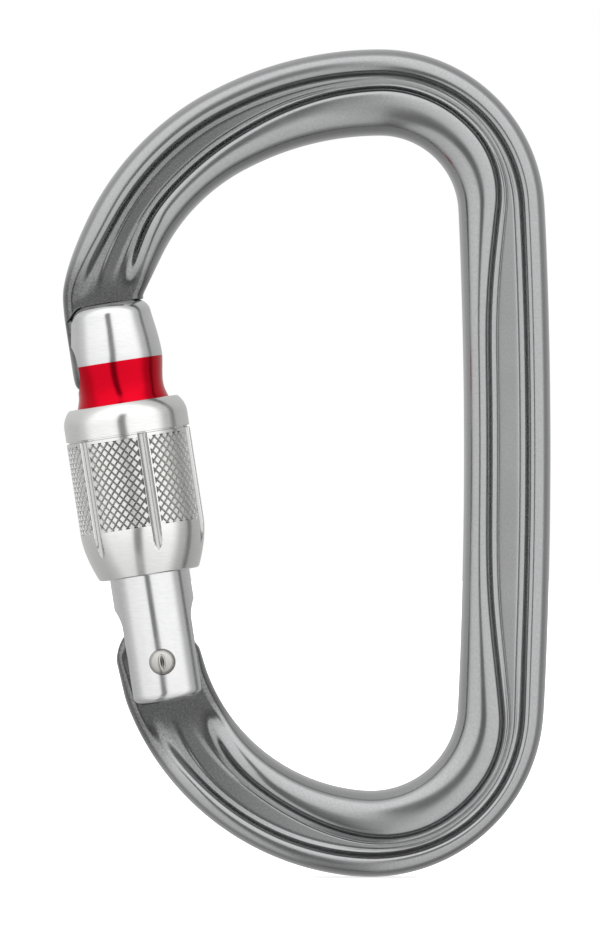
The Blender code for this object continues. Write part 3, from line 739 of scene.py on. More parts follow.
# %% [markdown]
# The sleeve is a tube with a round collar, a grip and a tapered foot. Six straight flutes are cut along the
# grip: because the foot tapers, each one runs out to a point. Booleans would do, but the outside is a rule,
# one radius for each angle and height, and a rule leaves cleaner faces. The grip's panels sit a little low,
# to make room for the knurl.

# %% Rule of the sleeve
SLEEVE_RADIUS = 8.43 * MM
SLEEVE_COLLAR = 4.2 * MM
SLEEVE_TAPER = 6.4 * MM
SLEEVE_FOOT_RADIUS = 6.75 * MM
TAPER_POWER = 1.7
COLLAR_ROUND = 2.4 * MM
COLLAR_DROP = 1.0 * MM
COLLAR_POWER = 2.2
FLUTES = 6
FLUTE_TURN = math.radians(14.0)
FLUTE_CUTTER = 0.68 * MM
FLUTE_DEPTH = 0.55 * MM
FLUTE_END = 0.3 * MM
KNURL_DEPTH = 0.26 * MM
KNURL_TOP_MARGIN = 0.75 * MM
KNURL_FOOT_MARGIN = 0.15 * MM
PANEL_STRIPS = (0.2 * MM, 0.1 * MM)
pitch = 2 * math.pi / FLUTES
grip_top = sleeve_top - SLEEVE_COLLAR
taper_top = sleeve_foot + SLEEVE_TAPER
knurl_top = grip_top - KNURL_TOP_MARGIN
knurl_foot = taper_top + KNURL_FOOT_MARGIN
flute_centre = SLEEVE_RADIUS - FLUTE_DEPTH + FLUTE_CUTTER
flute_cosine = (SLEEVE_RADIUS**2 + flute_centre**2 - FLUTE_CUTTER**2) / (2 * SLEEVE_RADIUS * flute_centre)
flute_half = math.acos(flute_cosine)
panel_start = flute_half + PANEL_STRIPS[0] / SLEEVE_RADIUS
panel_end = pitch - flute_half - PANEL_STRIPS[1] / SLEEVE_RADIUS


def sleeve_outline(height):
    """Outer radius at a height, without flutes."""
    if height >= grip_top:
        rounding = max(0.0, 1 - (sleeve_top - height) / COLLAR_ROUND)
        return SLEEVE_RADIUS - COLLAR_DROP * rounding**COLLAR_POWER
    drop = max(0.0, (taper_top - height) / SLEEVE_TAPER)
    return SLEEVE_RADIUS - (SLEEVE_RADIUS - SLEEVE_FOOT_RADIUS) * drop**TAPER_POWER


def sleeve_radius(off, height):
    """Outer radius at an angle past the flute's middle, with the flute and the sunk panel."""
    full = sleeve_outline(height)
    if height > grip_top - FLUTE_END:
        return full
    near = (off + pitch / 2) % pitch - pitch / 2
    inside = FLUTE_CUTTER**2 - (flute_centre * math.sin(near)) ** 2
    if inside > 0:
        return min(full, flute_centre * math.cos(near) - math.sqrt(inside))
    if panel_start < off % pitch < panel_end and knurl_foot < height < knurl_top:
        return full - KNURL_DEPTH
    return full


print(f"sleeve: {FLUTES} flutes, each {2 * flute_half * SLEEVE_RADIUS / MM:.2f} mm wide")

# %% [markdown]
# A grid of angles and heights turns the rule into a mesh. Its lines stand close together where the rule
# steps, beside the flutes and round the panels, and wide apart elsewhere. An even grid that is fine enough
# for the steps would need many times as many faces.

# %% Grid of the sleeve
FLUTE_SHARES = (0.0, 0.2, 0.4, 0.6, 0.8, 0.98, 1.02)
PANEL_COLUMNS = 14
EDGE_TURN = 0.004
EDGE_STEP = 0.03 * MM
FOOT_STEPS = (0.063 * MM, 0.18 * MM)
GRIP_END = 0.32 * MM
TAPER_ROWS = 26
PANEL_ROWS = 8
PANEL_MARGIN = 0.5 * MM
offsets = []
for k in range(FLUTES):
    base = 2 * math.pi * k / FLUTES
    offsets += [base - flute_half * share for share in reversed(FLUTE_SHARES[1:])]
    offsets += [base + flute_half * share for share in FLUTE_SHARES]
    offsets += [base + panel_start - EDGE_TURN, base + panel_start + EDGE_TURN]
    for share in np.linspace(0, 1, PANEL_COLUMNS)[1:-1]:
        offsets.append(base + panel_start + (panel_end - panel_start) * share)
    offsets += [base + panel_end - EDGE_TURN, base + panel_end + EDGE_TURN]
heights = [sleeve_foot + step for step in FOOT_STEPS]
heights += list(np.linspace(sleeve_foot + PANEL_MARGIN, taper_top, TAPER_ROWS))
heights += [knurl_foot - EDGE_STEP, knurl_foot + EDGE_STEP]
heights += list(np.linspace(knurl_foot + PANEL_MARGIN, knurl_top - PANEL_MARGIN, PANEL_ROWS))
heights += [knurl_top - EDGE_STEP, knurl_top + EDGE_STEP, grip_top - GRIP_END]
print(f"sleeve grid: {len(offsets)} angles, {len(heights)} heights")

# %% [markdown]
# Each column of the grid goes once round the wall of the tube: up the outside, over the groove under the
# collar and the collar's round, and down the bore to the lip that holds the stop ring. Turning one profile
# would be simpler, but a turned tube has no flutes. The last column lies on the first, and a weld joins
# them.

# %% Sleeve piece
THREAD_PLAY = 0.35 * MM
SLEEVE_BORE = THREAD_RADIUS + THREAD_PLAY
BORE_LIP = 0.9 * MM
FOOT_CHAMFER = 0.22 * MM
RIM_CHAMFER = 0.12 * MM
GROOVE_DEPTH = 0.34 * MM
GROOVE_STEPS = (0.22 * MM, 0.06 * MM)
COLLAR_ROWS = 26
COLLAR_SHARE = 0.985
WELD_DISTANCE = 0.002 * MM
groove = [(SLEEVE_RADIUS - GROOVE_DEPTH, grip_top - step) for step in GROOVE_STEPS]
collar = []
for share in np.linspace(0.0, COLLAR_SHARE, COLLAR_ROWS):
    height = grip_top + SLEEVE_COLLAR * float(share)
    collar.append((sleeve_outline(height), height))
collar += [(sleeve_outline(sleeve_top) - RIM_CHAMFER, sleeve_top), (SLEEVE_BORE, sleeve_top)]
lip_top = ring_foot - CLEARANCE
lip = [(SLEEVE_BORE, lip_top), (SLEEVE_BORE - BORE_LIP, lip_top)]
columns = []
for offset in offsets:
    angle = offset + FLUTE_TURN
    spots = [(SLEEVE_BORE - BORE_LIP, sleeve_foot), (SLEEVE_FOOT_RADIUS - FOOT_CHAMFER, sleeve_foot)]
    for height in heights:
        chamfer = RIM_CHAMFER if height == heights[0] else 0
        spots.append((sleeve_radius(offset, float(height)) - chamfer, float(height)))
    spots += groove + collar + lip
    columns.append([in_gate(r * math.sin(angle), -r * math.cos(angle), z) for r, z in spots])


def weld(piece):
    """Joins the points that lie on each other where a skin closes."""
    change = piece.modifiers.new("weld", "WELD")
    change.merge_threshold = WELD_DISTANCE


sleeve = new_piece("sleeve_tube", skin(columns + columns[:1]))
weld(sleeve)
finish_mesh(sleeve, crease=28)

# %% [markdown]
# Now the finishes. All the pieces are metal, so one recipe serves for all: a broad noise varies the
# roughness a little, a fine one the colour and the bump. What the frame's plate attribute marks gets painted
# shade, a darker colour, and its grain shows more, because the fine noise changes the painted shade there
# too. Colours could come from pictures, but noise on Object coordinates has no seams. `add_node` keeps the
# wiring short. The frame's finish comes first: a grey anodised forging with a fine blasted grain.

# %% Recipe for metal
GRAIN = 3600.0
BROAD_GRAIN = 144.0
NOISE_DETAIL = 2.0
ROUGHNESS_SPREAD = 0.06
BUMP_DISTANCE = 0.03 * MM
# painted shade: how dark the plate attribute makes the frame's colour, and how much grain shows in it
PLATE_SHADE = 0.48
PLATE_CONTRAST = 0.5
ALL_ROUND = (1, 1, 1)
grain_turn = (0, -math.atan2(along[0], along[1]), 0)


def add_node(tree, kind, settings=None, **links):
    """Adds a node. Each link names an input by its label and gives a socket or a plain value."""
    node = tree.nodes.new(kind)
    for key, value in (settings or {}).items():
        setattr(node, key, value)
    for label, value in links.items():
        found = [s for s in node.inputs if s.name.replace(" ", "_") == label and s.enabled]
        if isinstance(value, bpy.types.NodeSocket):
            tree.links.new(value, found[0])
        else:
            found[0].default_value = value
    return node


def metal(name, colour, roughness, bump, contrast=0.3, stretch=ALL_ROUND):
    """A metal with a fine grain: noise varies its roughness and colour and lifts its surface a little."""
    material = bpy.data.materials.new(name)
    material.use_nodes = True
    tree = material.node_tree
    shader = tree.nodes["Principled BSDF"]
    shader.inputs["Metallic"].default_value = 1.0
    place = add_node(tree, "ShaderNodeTexCoord").outputs["Object"]
    mapping = add_node(tree, "ShaderNodeMapping", Vector=place, Rotation=grain_turn, Scale=stretch)
    fine = add_node(tree, "ShaderNodeTexNoise", Vector=mapping.outputs[0], Scale=GRAIN, Detail=NOISE_DETAIL)
    broad = add_node(tree, "ShaderNodeTexNoise", Vector=place, Scale=BROAD_GRAIN, Detail=NOISE_DETAIL)
    rough = add_node(
        tree,
        "ShaderNodeMapRange",
        Value=broad.outputs["Fac"],
        To_Min=roughness - ROUGHNESS_SPREAD,
        To_Max=roughness + ROUGHNESS_SPREAD,
    )
    tint = add_node(
        tree,
        "ShaderNodeMix",
        {"data_type": "RGBA"},
        Factor=fine.outputs["Fac"],
        A=(*[c * (1 - contrast) for c in colour], 1),
        B=(*[min(1.0, c * (1 + contrast)) for c in colour], 1),
    )
    # painted shade with grain: the darker colour that the plate attribute mixes into the frame
    painted_shade_grain = add_node(
        tree,
        "ShaderNodeMix",
        {"data_type": "RGBA"},
        Factor=fine.outputs["Fac"],
        A=(*[PLATE_SHADE * (1 - PLATE_CONTRAST)] * 3, 1),
        B=(*[PLATE_SHADE * (1 + PLATE_CONTRAST)] * 3, 1),
    )
    shaded = add_node(
        tree,
        "ShaderNodeMix",
        {"data_type": "RGBA", "blend_type": "MULTIPLY"},
        Factor=add_node(tree, "ShaderNodeAttribute", {"attribute_name": "plate"}).outputs["Fac"],
        A=tint.outputs["Result"],
        B=painted_shade_grain.outputs["Result"],
    )
    relief = add_node(
        tree,
        "ShaderNodeBump",
        Strength=bump,
        Distance=BUMP_DISTANCE,
        Height=fine.outputs["Fac"],
    )
    tree.links.new(rough.outputs["Result"], shader.inputs["Roughness"])
    tree.links.new(shaded.outputs["Result"], shader.inputs["Base Color"])
    tree.links.new(relief.outputs["Normal"], shader.inputs["Normal"])
    print(f"finish {name}: roughness {roughness}")
    return material


forged_grey = metal("forged_grey", (0.353, 0.355, 0.358), 0.185, 0.012, 0.13)

# %% [markdown]
# The gate and the sleeve are brighter than the frame, with faint turning marks round the axis: their noise
# is stretched across the axis and squeezed along it. The pads of the knurl are duller, because their edges
# scatter the light. The grooves between them are painted dark, as painted shade in the hollows, and the
# flutes get a darker colour too, painted shade under a satin roughness. One white metal could serve for all
# of these, but then the grip would vanish in the polish.

# %% Finishes
ROUND_AXIS = (0.25, 0.25, 2.0)
turned_bright = metal("turned_bright", (0.66, 0.66, 0.665), 0.17, 0.05, 0.08, ROUND_AXIS)
knurled_bright = metal("knurled_bright", (0.72, 0.72, 0.705), 0.19, 0.05, 0.08, ROUND_AXIS)
pad_bright = metal("pad_bright", (0.70, 0.70, 0.685), 0.33, 0.05, 0.12)
# painted shade: a dark colour on the floor of the knurled panels, for the shade between the pads
groove_dark = metal("groove_dark", (0.16, 0.16, 0.155), 0.42, 0.2)
# painted shade: the flutes are darker in colour for the shade in the hollow; their higher roughness is a
# satin
flute_satin = metal("flute_satin", (0.5, 0.5, 0.49), 0.24, 0.05, 0.1)
dimple_shade = metal("dimple_shade", (0.2, 0.2, 0.19), 0.4, 0.1)
red_lacquer = metal("red_lacquer", (0.58, 0.003, 0.016), 0.17, 0.05, 0.08, ROUND_AXIS)
rivet_steel = metal("rivet_steel", (0.45, 0.44, 0.42), 0.16, 0.05, 0.1)
plain_steel = metal("plain_steel", (0.58, 0.58, 0.6), 0.3, 0.1)

# %% [markdown]
# The knurl is a diamond pattern: two sets of slanted cuts leave small flat-topped pads on the grip. Cutting
# the grooves with booleans would be slow, and bump alone would leave the outline smooth, so the pads are
# placed one by one. First come their sizes: as many pads as fit round the sleeve, the same in each panel.

# %% Sizes of the knurl
KNURL_WIDTH = 1.12 * MM
KNURL_HEIGHT = 1.3 * MM
KNURL_REACH = 6
KNURL_SINK = 0.012 * MM
knurl_columns = FLUTES * round(2 * math.pi * SLEEVE_RADIUS / KNURL_WIDTH / FLUTES)
half_step = math.pi / knurl_columns
panel_reach = (KNURL_REACH + 0.5) * half_step
knurl_span = knurl_top - knurl_foot
knurl_rows = int(2 * knurl_span / KNURL_HEIGHT) + 1
knurl_sizes = {
    "Columns": knurl_columns,
    "Rows": knurl_rows,
    "Radius": SLEEVE_RADIUS - KNURL_DEPTH - KNURL_SINK,
    "Foot": knurl_foot + (knurl_span - (knurl_rows - 1) * KNURL_HEIGHT / 2) / 2,
    "Row Step": KNURL_HEIGHT / 2,
    "Pad Height": KNURL_HEIGHT,
    "Pad Depth": KNURL_DEPTH,
    "Flute Turn": FLUTE_TURN,
    "First Pad": FLUTE_TURN + pitch / 2 - KNURL_REACH * half_step,
    "Panel Start": pitch / 2 - panel_reach,
    "Panel End": pitch / 2 + panel_reach,
}
print(f"knurl: {knurl_columns} columns and {knurl_rows} rows of points")

# %% [markdown]
# There are hundreds of pads, so Geometry Nodes set them out: a grid of points is rolled round the sleeve,
# every other row is shifted by half a step, and the points outside the panels are dropped. A loop in the
# script could do this too, but a tree needs only one pad and one rule for all the points. Two helpers keep
# its wiring short: one makes a tree with its inputs, the other a sum.


# %% Knurl points
def math_node(tree, operation, *values):
    """A Math node on sockets or plain numbers."""
    node = tree.nodes.new("ShaderNodeMath")
    node.operation = operation
    for slot, value in zip(node.inputs, values):
        if isinstance(value, bpy.types.NodeSocket):
            tree.links.new(value, slot)
        else:
            slot.default_value = value
    return node.outputs[0]


def node_tree(name, inputs):
    """A Geometry Nodes tree with named number inputs and one geometry output."""
    tree = bpy.data.node_groups.new(name, "GeometryNodeTree")
    for label, value in inputs.items():
        kind = "NodeSocketInt" if isinstance(value, int) else "NodeSocketFloat"
        tree.interface.new_socket(label, in_out="INPUT", socket_type=kind)
    tree.interface.new_socket("Geometry", in_out="OUTPUT", socket_type="NodeSocketGeometry")
    return tree, tree.nodes.new("NodeGroupInput").outputs


tree, size = node_tree("knurl", knurl_sizes)
grid = add_node(
    tree,
    "GeometryNodeMeshGrid",
    Size_X=1.0,
    Size_Y=1.0,
    Vertices_X=size["Columns"],
    Vertices_Y=size["Rows"],
)
index = add_node(tree, "GeometryNodeInputIndex").outputs[0]
row_of = math_node(tree, "MODULO", index, size["Rows"])
column_of = math_node(tree, "FLOOR", math_node(tree, "DIVIDE", index, size["Rows"]))
row_shift = math_node(tree, "MULTIPLY", math_node(tree, "MODULO", row_of, 2.0), 0.5)
shifted = math_node(tree, "ADD", column_of, row_shift)
angle = math_node(tree, "DIVIDE", math_node(tree, "MULTIPLY", shifted, 2 * math.pi), size["Columns"])
angle = math_node(tree, "ADD", angle, size["First Pad"])
towards_camera = math_node(tree, "MULTIPLY", math_node(tree, "COSINE", angle), -1.0)
rolled_spot = add_node(
    tree,
    "ShaderNodeCombineXYZ",
    X=math_node(tree, "MULTIPLY", size["Radius"], math_node(tree, "SINE", angle)),
    Y=math_node(tree, "MULTIPLY", size["Radius"], towards_camera),
    Z=math_node(tree, "ADD", size["Foot"], math_node(tree, "MULTIPLY", row_of, size["Row Step"])),
)
rolled = add_node(
    tree,
    "GeometryNodeSetPosition",
    Geometry=grid.outputs["Mesh"],
    Position=rolled_spot.outputs[0],
)
from_flute = math_node(tree, "SUBTRACT", math_node(tree, "ADD", angle, 4 * math.pi), size["Flute Turn"])
past_flute = math_node(tree, "MODULO", from_flute, pitch)
early = math_node(tree, "LESS_THAN", past_flute, size["Panel Start"])
late = math_node(tree, "GREATER_THAN", past_flute, size["Panel End"])
kept = add_node(
    tree,
    "GeometryNodeDeleteGeometry",
    {"domain": "POINT"},
    Geometry=rolled.outputs[0],
    Selection=math_node(tree, "GREATER_THAN", math_node(tree, "ADD", early, late), 0.5),
)
print(f"knurl tree: {len(tree.nodes)} nodes set out the points")

# %% [markdown]
# On each point that is left stands a four-sided cone with a flat top, turned to face outwards. The copies
# are then made real, and the mesh is moved from the world's Z axis, where the tree draws it, onto the gate's
# axis. An Array modifier could copy one row of pads, but not rows that are shifted and stop at a flute.

# %% Knurl piece
KNURL_GROOVE = 0.17
KNURL_FOOT_SHARE = 0.9


def end_tree(tree, geometry, material):
    """Ends a tree: the instances are made real and get their material."""
    real = add_node(tree, "GeometryNodeRealizeInstances", Geometry=geometry)
    painted = add_node(tree, "GeometryNodeSetMaterial", Geometry=real.outputs[0], Material=material)
    add_node(tree, "NodeGroupOutput", Geometry=painted.outputs[0])


def run_tree(name, tree, inputs, material, rise=0.0):
    """A plain mesh object from a tree that draws round the world's Z axis, moved onto the gate's axis."""
    piece = bpy.data.objects.new(name, bpy.data.meshes.new(name))
    bpy.context.scene.collection.objects.link(piece)
    grower = piece.modifiers.new("grow", "NODES")
    grower.node_group = tree
    for item in tree.interface.items_tree:
        if item.in_out == "INPUT" and item.name in inputs:
            grower[item.identifier] = inputs[item.name]
    finish_mesh(piece, crease=25)
    piece.data.materials.clear()
    piece.data.materials.append(material)
    piece.data.transform(Matrix.Translation((0, 0, rise)))
    points = np.empty(len(piece.data.vertices) * 3)
    piece.data.vertices.foreach_get("co", points)
    points = points.reshape(-1, 3)
    flat = pivot + np.outer(points[:, 0], across) + np.outer(points[:, 2], along)
    points = np.column_stack([flat[:, 0], points[:, 1], flat[:, 1]])
    piece.data.vertices.foreach_set("co", points.ravel())
    piece.data.update()
    return piece


pad_half = math_node(tree, "MULTIPLY", size["Pad Height"], 0.5)
pad = add_node(
    tree,
    "GeometryNodeMeshCone",
    {"fill_type": "NGON"},
    Vertices=4,
    Radius_Top=math_node(tree, "MULTIPLY", pad_half, 1 - 2 * KNURL_GROOVE),
    Radius_Bottom=math_node(tree, "MULTIPLY", pad_half, KNURL_FOOT_SHARE),
    Depth=size["Pad Depth"],
)
point = add_node(tree, "GeometryNodeInputPosition").outputs[0]
point = add_node(tree, "ShaderNodeSeparateXYZ", Vector=point).outputs
outward = add_node(tree, "ShaderNodeCombineXYZ", X=point["X"], Y=point["Y"], Z=0.0)
facing = add_node(
    tree,
    "FunctionNodeAxesToRotation",
    {"primary_axis": "Z", "secondary_axis": "X"},
    Primary_Axis=outward.outputs[0],
    Secondary_Axis=(0, 0, 1),
)
pads = add_node(
    tree,
    "GeometryNodeInstanceOnPoints",
    Points=kept.outputs[0],
    Instance=pad.outputs["Mesh"],
    Rotation=facing.outputs[0],
    Scale=(1.0, KNURL_WIDTH / KNURL_HEIGHT, 1.0),
)
end_tree(tree, pads.outputs[0], pad_bright)
knurl = run_tree("sleeve_knurl", tree, knurl_sizes, pad_bright)

# %% [markdown]
# Inside the gate is a coil spring, which pushes the gate shut through the plunger. A Screw modifier could
# make the coil. Here it is a spiral curve with a round wire swept along it, again by Geometry Nodes, so its
# turns and its height are plain numbers.

# %% Spring piece
SPRING_RADIUS = 1.3 * MM
SPRING_WIRE = 0.25 * MM
SPRING_TURNS = 9.0
spring_sizes = {
    "Turns": SPRING_TURNS,
    "Coil Radius": SPRING_RADIUS,
    "Wire Radius": SPRING_WIRE,
    "Coil Height": spring_head - spring_foot - 2 * SPRING_WIRE,
}
tree, size = node_tree("spring", spring_sizes)
coil = add_node(
    tree,
    "GeometryNodeCurveSpiral",
    Resolution=32,
    Rotations=size["Turns"],
    Start_Radius=size["Coil Radius"],
    End_Radius=size["Coil Radius"],
    Height=size["Coil Height"],
)
wire = add_node(tree, "GeometryNodeCurvePrimitiveCircle", Resolution=10, Radius=size["Wire Radius"])
swept = add_node(
    tree,
    "GeometryNodeCurveToMesh",
    Curve=coil.outputs[0],
    Profile_Curve=wire.outputs[0],
    Fill_Caps=True,
)
end_tree(tree, swept.outputs[0], plain_steel)
spring = run_tree("gate_coil", tree, spring_sizes, plain_steel, rise=spring_foot + SPRING_WIRE)

# %% [markdown]
# The plunger is a pin with a round end that rides on the lug's cam, and the stop ring keeps the sleeve from
# coming off the thread. Both are small turned pieces, so they need no more than a profile each.

# %% Plunger and stop ring
PLUNGER_ROUND = 0.9 * MM
PLUNGER_CHAMFER = 0.2 * MM
PLUNGER_STEPS = 8
PLUNGER_POINT = 0.02
RING_SIDES = 96
plunger_foot, plunger_head = span("spring_plunger")
plunger_profile = [(PLUNGER_RADIUS * PLUNGER_POINT, plunger_foot)]
for k in range(1, PLUNGER_STEPS + 1):
    turn = math.radians(90 * k / PLUNGER_STEPS)
    height = plunger_foot + PLUNGER_ROUND * (1 - math.cos(turn))
    plunger_profile.append((PLUNGER_RADIUS * math.sin(turn), height))
plunger_profile.append((PLUNGER_RADIUS, plunger_head - PLUNGER_CHAMFER))
plunger_profile.append((PLUNGER_RADIUS - PLUNGER_CHAMFER, plunger_head))
plunger = new_piece("cam_plunger", skin(turned(plunger_profile, BORE_SIDES), ends="flat"))
finish_mesh(plunger)
ring_in = BARREL_RADIUS + CLEARANCE
ring_out = SLEEVE_BORE - CLEARANCE
ring_profile = [(ring_in, ring_foot), (ring_out, ring_foot), (ring_out, ring_head), (ring_in, ring_head)]
stop_ring = new_piece("stop_washer", skin(turned(ring_profile + ring_profile[:1], RING_SIDES)))
weld(stop_ring)
finish_mesh(stop_ring)

# %% [markdown]
# The rivet is a steel pin whose ends were pressed into domes, and the punch left a long narrow dimple in
# the middle of each. Rings from the rim to the middle make an end: round at the rim, narrower and narrower
# towards the dimple. A boolean would cut the dimple too, but with a hard edge that pressing never leaves.

# %% Rivet piece
RIVET_INSET = 0.45 * MM
RIVET_HALF = BARREL_RADIUS - RIVET_INSET
RIVET_DOME = 1.15 * MM
RIVET_DOME_SHARE = 0.94
RIVET_SIDES = 48
RIVET_SHARES = (1.0, 0.97, 0.9, 0.82, 0.74, 0.66, 0.6, 0.54, 0.48, 0.42, 0.36, 0.3, 0.24, 0.18, 0.12, 0.06)
DIMPLE_SHARE = 0.66
DIMPLE_FLOOR = 0.48
DIMPLE_SHAPE = 0.32
DIMPLE_DEPTH = 0.35 * MM


def rivet_end(side):
    """Rings of a domed rivet end, from its round rim to the long narrow dimple in its middle."""
    found = []
    for share in RIVET_SHARES:
        narrow = DIMPLE_SHAPE + (1 - DIMPLE_SHAPE) * smooth((share - DIMPLE_FLOOR) / (1 - DIMPLE_FLOOR))
        dimple = DIMPLE_DEPTH * (1 - smooth(share / DIMPLE_SHARE))
        ring = []
        for k in range(RIVET_SIDES):
            angle = 2 * math.pi * k / RIVET_SIDES
            x = RIVET_RADIUS * share * narrow * math.cos(angle)
            z = RIVET_RADIUS * share * math.sin(angle)
            dome = RIVET_DOME * math.sqrt(1 - RIVET_DOME_SHARE * (x**2 + z**2) / RIVET_RADIUS**2)
            ring.append(in_gate(x, side * (RIVET_HALF + dome - dimple), z))
        found.append(ring)
    return found


rivet = new_piece("rivet_pin", skin(rivet_end(-1)[::-1] + rivet_end(1), ends="flat"))
finish_mesh(rivet, crease=50)

# %% [markdown]
# Each piece now gets its finish. The red band is a lacquer on the gate bar itself, so it is a second
# material on the bar's own faces, picked by their place. In the same way the floor of each knurled panel
# gets painted shade, the flutes a satin with painted shade, and the rivet's dimple painted shade. A separate
# band would need a hair of thickness and could slip, where a face that has its own material never does.

# %% Finishes on the pieces
BAND_UNDERLAP = 0.5 * MM
BAND_SKIN = 0.4 * MM
FLUTE_SATIN_SHARE = 0.97
FLUTE_SKIN = 0.03 * MM
PANEL_WALL = 0.5 * MM
FLUTE_WALL = 0.2 * MM
for piece, materials in (
    (frame_body, (forged_grey,)),
    (gate, (turned_bright, red_lacquer)),
    (sleeve, (knurled_bright, groove_dark, flute_satin)),
    (stop_ring, (plain_steel,)),
    (plunger, (plain_steel,)),
    (rivet, (rivet_steel, dimple_shade)),
):
    piece.data.materials.clear()
    for material in materials:
        piece.data.materials.append(material)


def gate_place(face):
    """The middle of a face in the gate's axes."""
    flat = np.array([face.center[0], face.center[2]]) - pivot
    return float(flat @ across), face.center[1], float(flat @ along)


for face in gate.data.polygons:
    x, y, height = gate_place(face)
    if sleeve_top - BAND_UNDERLAP < height < red_top and math.hypot(x, y) > NECK_RADIUS - BAND_SKIN:
        face.material_index = 1
for face in sleeve.data.polygons:
    x, y, height = gate_place(face)
    out = math.hypot(x, y)
    off = (math.atan2(x, -y) - FLUTE_TURN) % pitch
    # painted shade: the sunk floor of each knurled panel (slot 1) and the flutes (slot 2) get darker colours
    sunk = SLEEVE_BORE + PANEL_WALL < out < SLEEVE_RADIUS - KNURL_DEPTH / 2
    if sunk and panel_start < off < panel_end and knurl_foot < height < knurl_top:
        face.material_index = 1
    hollow = SLEEVE_BORE + FLUTE_WALL < out < sleeve_outline(height) - FLUTE_SKIN
    if hollow and min(off, pitch - off) < flute_half * FLUTE_SATIN_SHARE:
        face.material_index = 2
for face in rivet.data.polygons:
    x, y, height = gate_place(face)
    if math.hypot(x / DIMPLE_SHAPE, height) < DIMPLE_FLOOR * RIVET_RADIUS:
        face.material_index = 1
for piece in (gate, sleeve, rivet):
    marked = sum(face.material_index > 0 for face in piece.data.polygons)
    print(f"{piece.name}: {marked} faces with a finish of their own")


# %% [markdown]
# On the real object the sleeve screws up the gate, the gate swings on the rivet, and the plunger slides in
# its bore. So each piece is put on the body that it rides on, and the solids that it stands for are hidden;
# its material slot is listed in the table, but nothing reads it. The plunger's travel squeezes the spring
# against the top of its bore, and here the spring only gets a mesh of its own.

# %% Bodies
for piece, body, nodes, slot in (
    (frame_body, "frame", ["frame"], "frame_alloy"),
    (gate, "gate", ["gate_barrel"], "gate_alloy"),
    (rivet, "gate", ["hinge_rivet"], "rivet_steel"),
    (spring, "gate", ["gate_spring"], "spring_steel"),
    (plunger, "plunger", ["spring_plunger"], "plunger_steel"),
    (stop_ring, "ring", ["stop_ring"], "ring_steel"),
    (sleeve, "sleeve", ["lock_sleeve"], "sleeve_alloy"),
    (knurl, "sleeve", [], "sleeve_alloy"),
):
    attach(piece, body)
    if nodes:
        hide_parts(*nodes)
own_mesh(spring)

# %% [markdown]
# The studio is a white tent. Polished metal shows what is round it, so the look of every bar is decided
# here. The tent has a dark gap behind the camera, which puts the dark stripe down the middle of the bars,
# and below the gap a stand that is less dark. A picture of a real studio would work too, but a few numbers
# can be turned until the stripes fall right.

# %% Gap in the tent
GAP_MIDDLE = -0.125
GAP_HALF_WIDTH = 0.145
GAP_HALF_HEIGHT = 0.6
GAP_POWER = 4.0
GAP_EDGE = 0.3
STAND_LEVEL = 0.45
scene = bpy.context.scene
scene.view_settings.view_transform = "Standard"
world = bpy.data.worlds.new("tent")
scene.world = world
world.use_nodes = True
sky = world.node_tree
direction = add_node(sky, "ShaderNodeTexCoord").outputs["Generated"]
towards = add_node(sky, "ShaderNodeSeparateXYZ", Vector=direction).outputs


def gap_power(socket):
    """A high even power: flat inside the gap, steep at its edge."""
    return math_node(sky, "POWER", math_node(sky, "ABSOLUTE", socket), GAP_POWER)


from_middle = math_node(sky, "SUBTRACT", towards["X"], GAP_MIDDLE)
beside = gap_power(math_node(sky, "DIVIDE", from_middle, GAP_HALF_WIDTH))
over = gap_power(math_node(sky, "DIVIDE", towards["Z"], GAP_HALF_HEIGHT))
lens_gap = math_node(sky, "SMOOTH_MIN", math_node(sky, "ADD", beside, over), 1.0, GAP_EDGE)
above = math_node(sky, "GREATER_THAN", towards["Z"], 0.0)
stand_gap = math_node(sky, "MAXIMUM", above, math_node(sky, "SMOOTH_MIN", beside, 1.0, GAP_EDGE))
stand_gap = math_node(sky, "MAXIMUM", stand_gap, STAND_LEVEL)
far_side = math_node(sky, "GREATER_THAN", towards["Y"], 0.0)
open_wall = math_node(sky, "MAXIMUM", far_side, math_node(sky, "MULTIPLY", lens_gap, stand_gap))
print(f"tent: gap {2 * GAP_HALF_WIDTH:.2f} wide")

# %% [markdown]
# The tent's left and right walls dim from the camera's side to the far side, each by a ramp of levels, and
# the tent is a little brighter towards its top. Lamps behind cloth would give the same, as in a real studio,
# but a ramp puts each level where it is wanted. The camera itself sees only white.

# %% Walls of the tent
TENT_LEVEL = 1.35
TENT_TOP = 0.32
GAP_LEVEL = 0.18
LEFT_WALL = ((0.0, 1.0), (0.28, 0.95), (0.5, 0.58), (0.62, 0.5), (0.9, 0.5))
RIGHT_WALL = ((0.0, 1.0), (0.22, 1.0), (0.42, 0.45), (0.6, 0.38), (0.9, 0.42))
WALL_TURN = 1.2
WALL_EDGE = 0.1
depth = math_node(sky, "MULTIPLY_ADD", towards["Y"], 0.5, 0.5)


def wall_levels(stops):
    """A ramp of light levels from behind the camera, at 0, to behind the object, at 1."""
    ramp = add_node(sky, "ShaderNodeValToRGB", Fac=depth)
    ramp.color_ramp.interpolation = "EASE"
    while len(ramp.color_ramp.elements) < len(stops):
        ramp.color_ramp.elements.new(0.5)
    for element, (position, value) in zip(ramp.color_ramp.elements, stops):
        element.position = position
        element.color = (value, value, value, 1)
    return ramp.outputs["Color"]


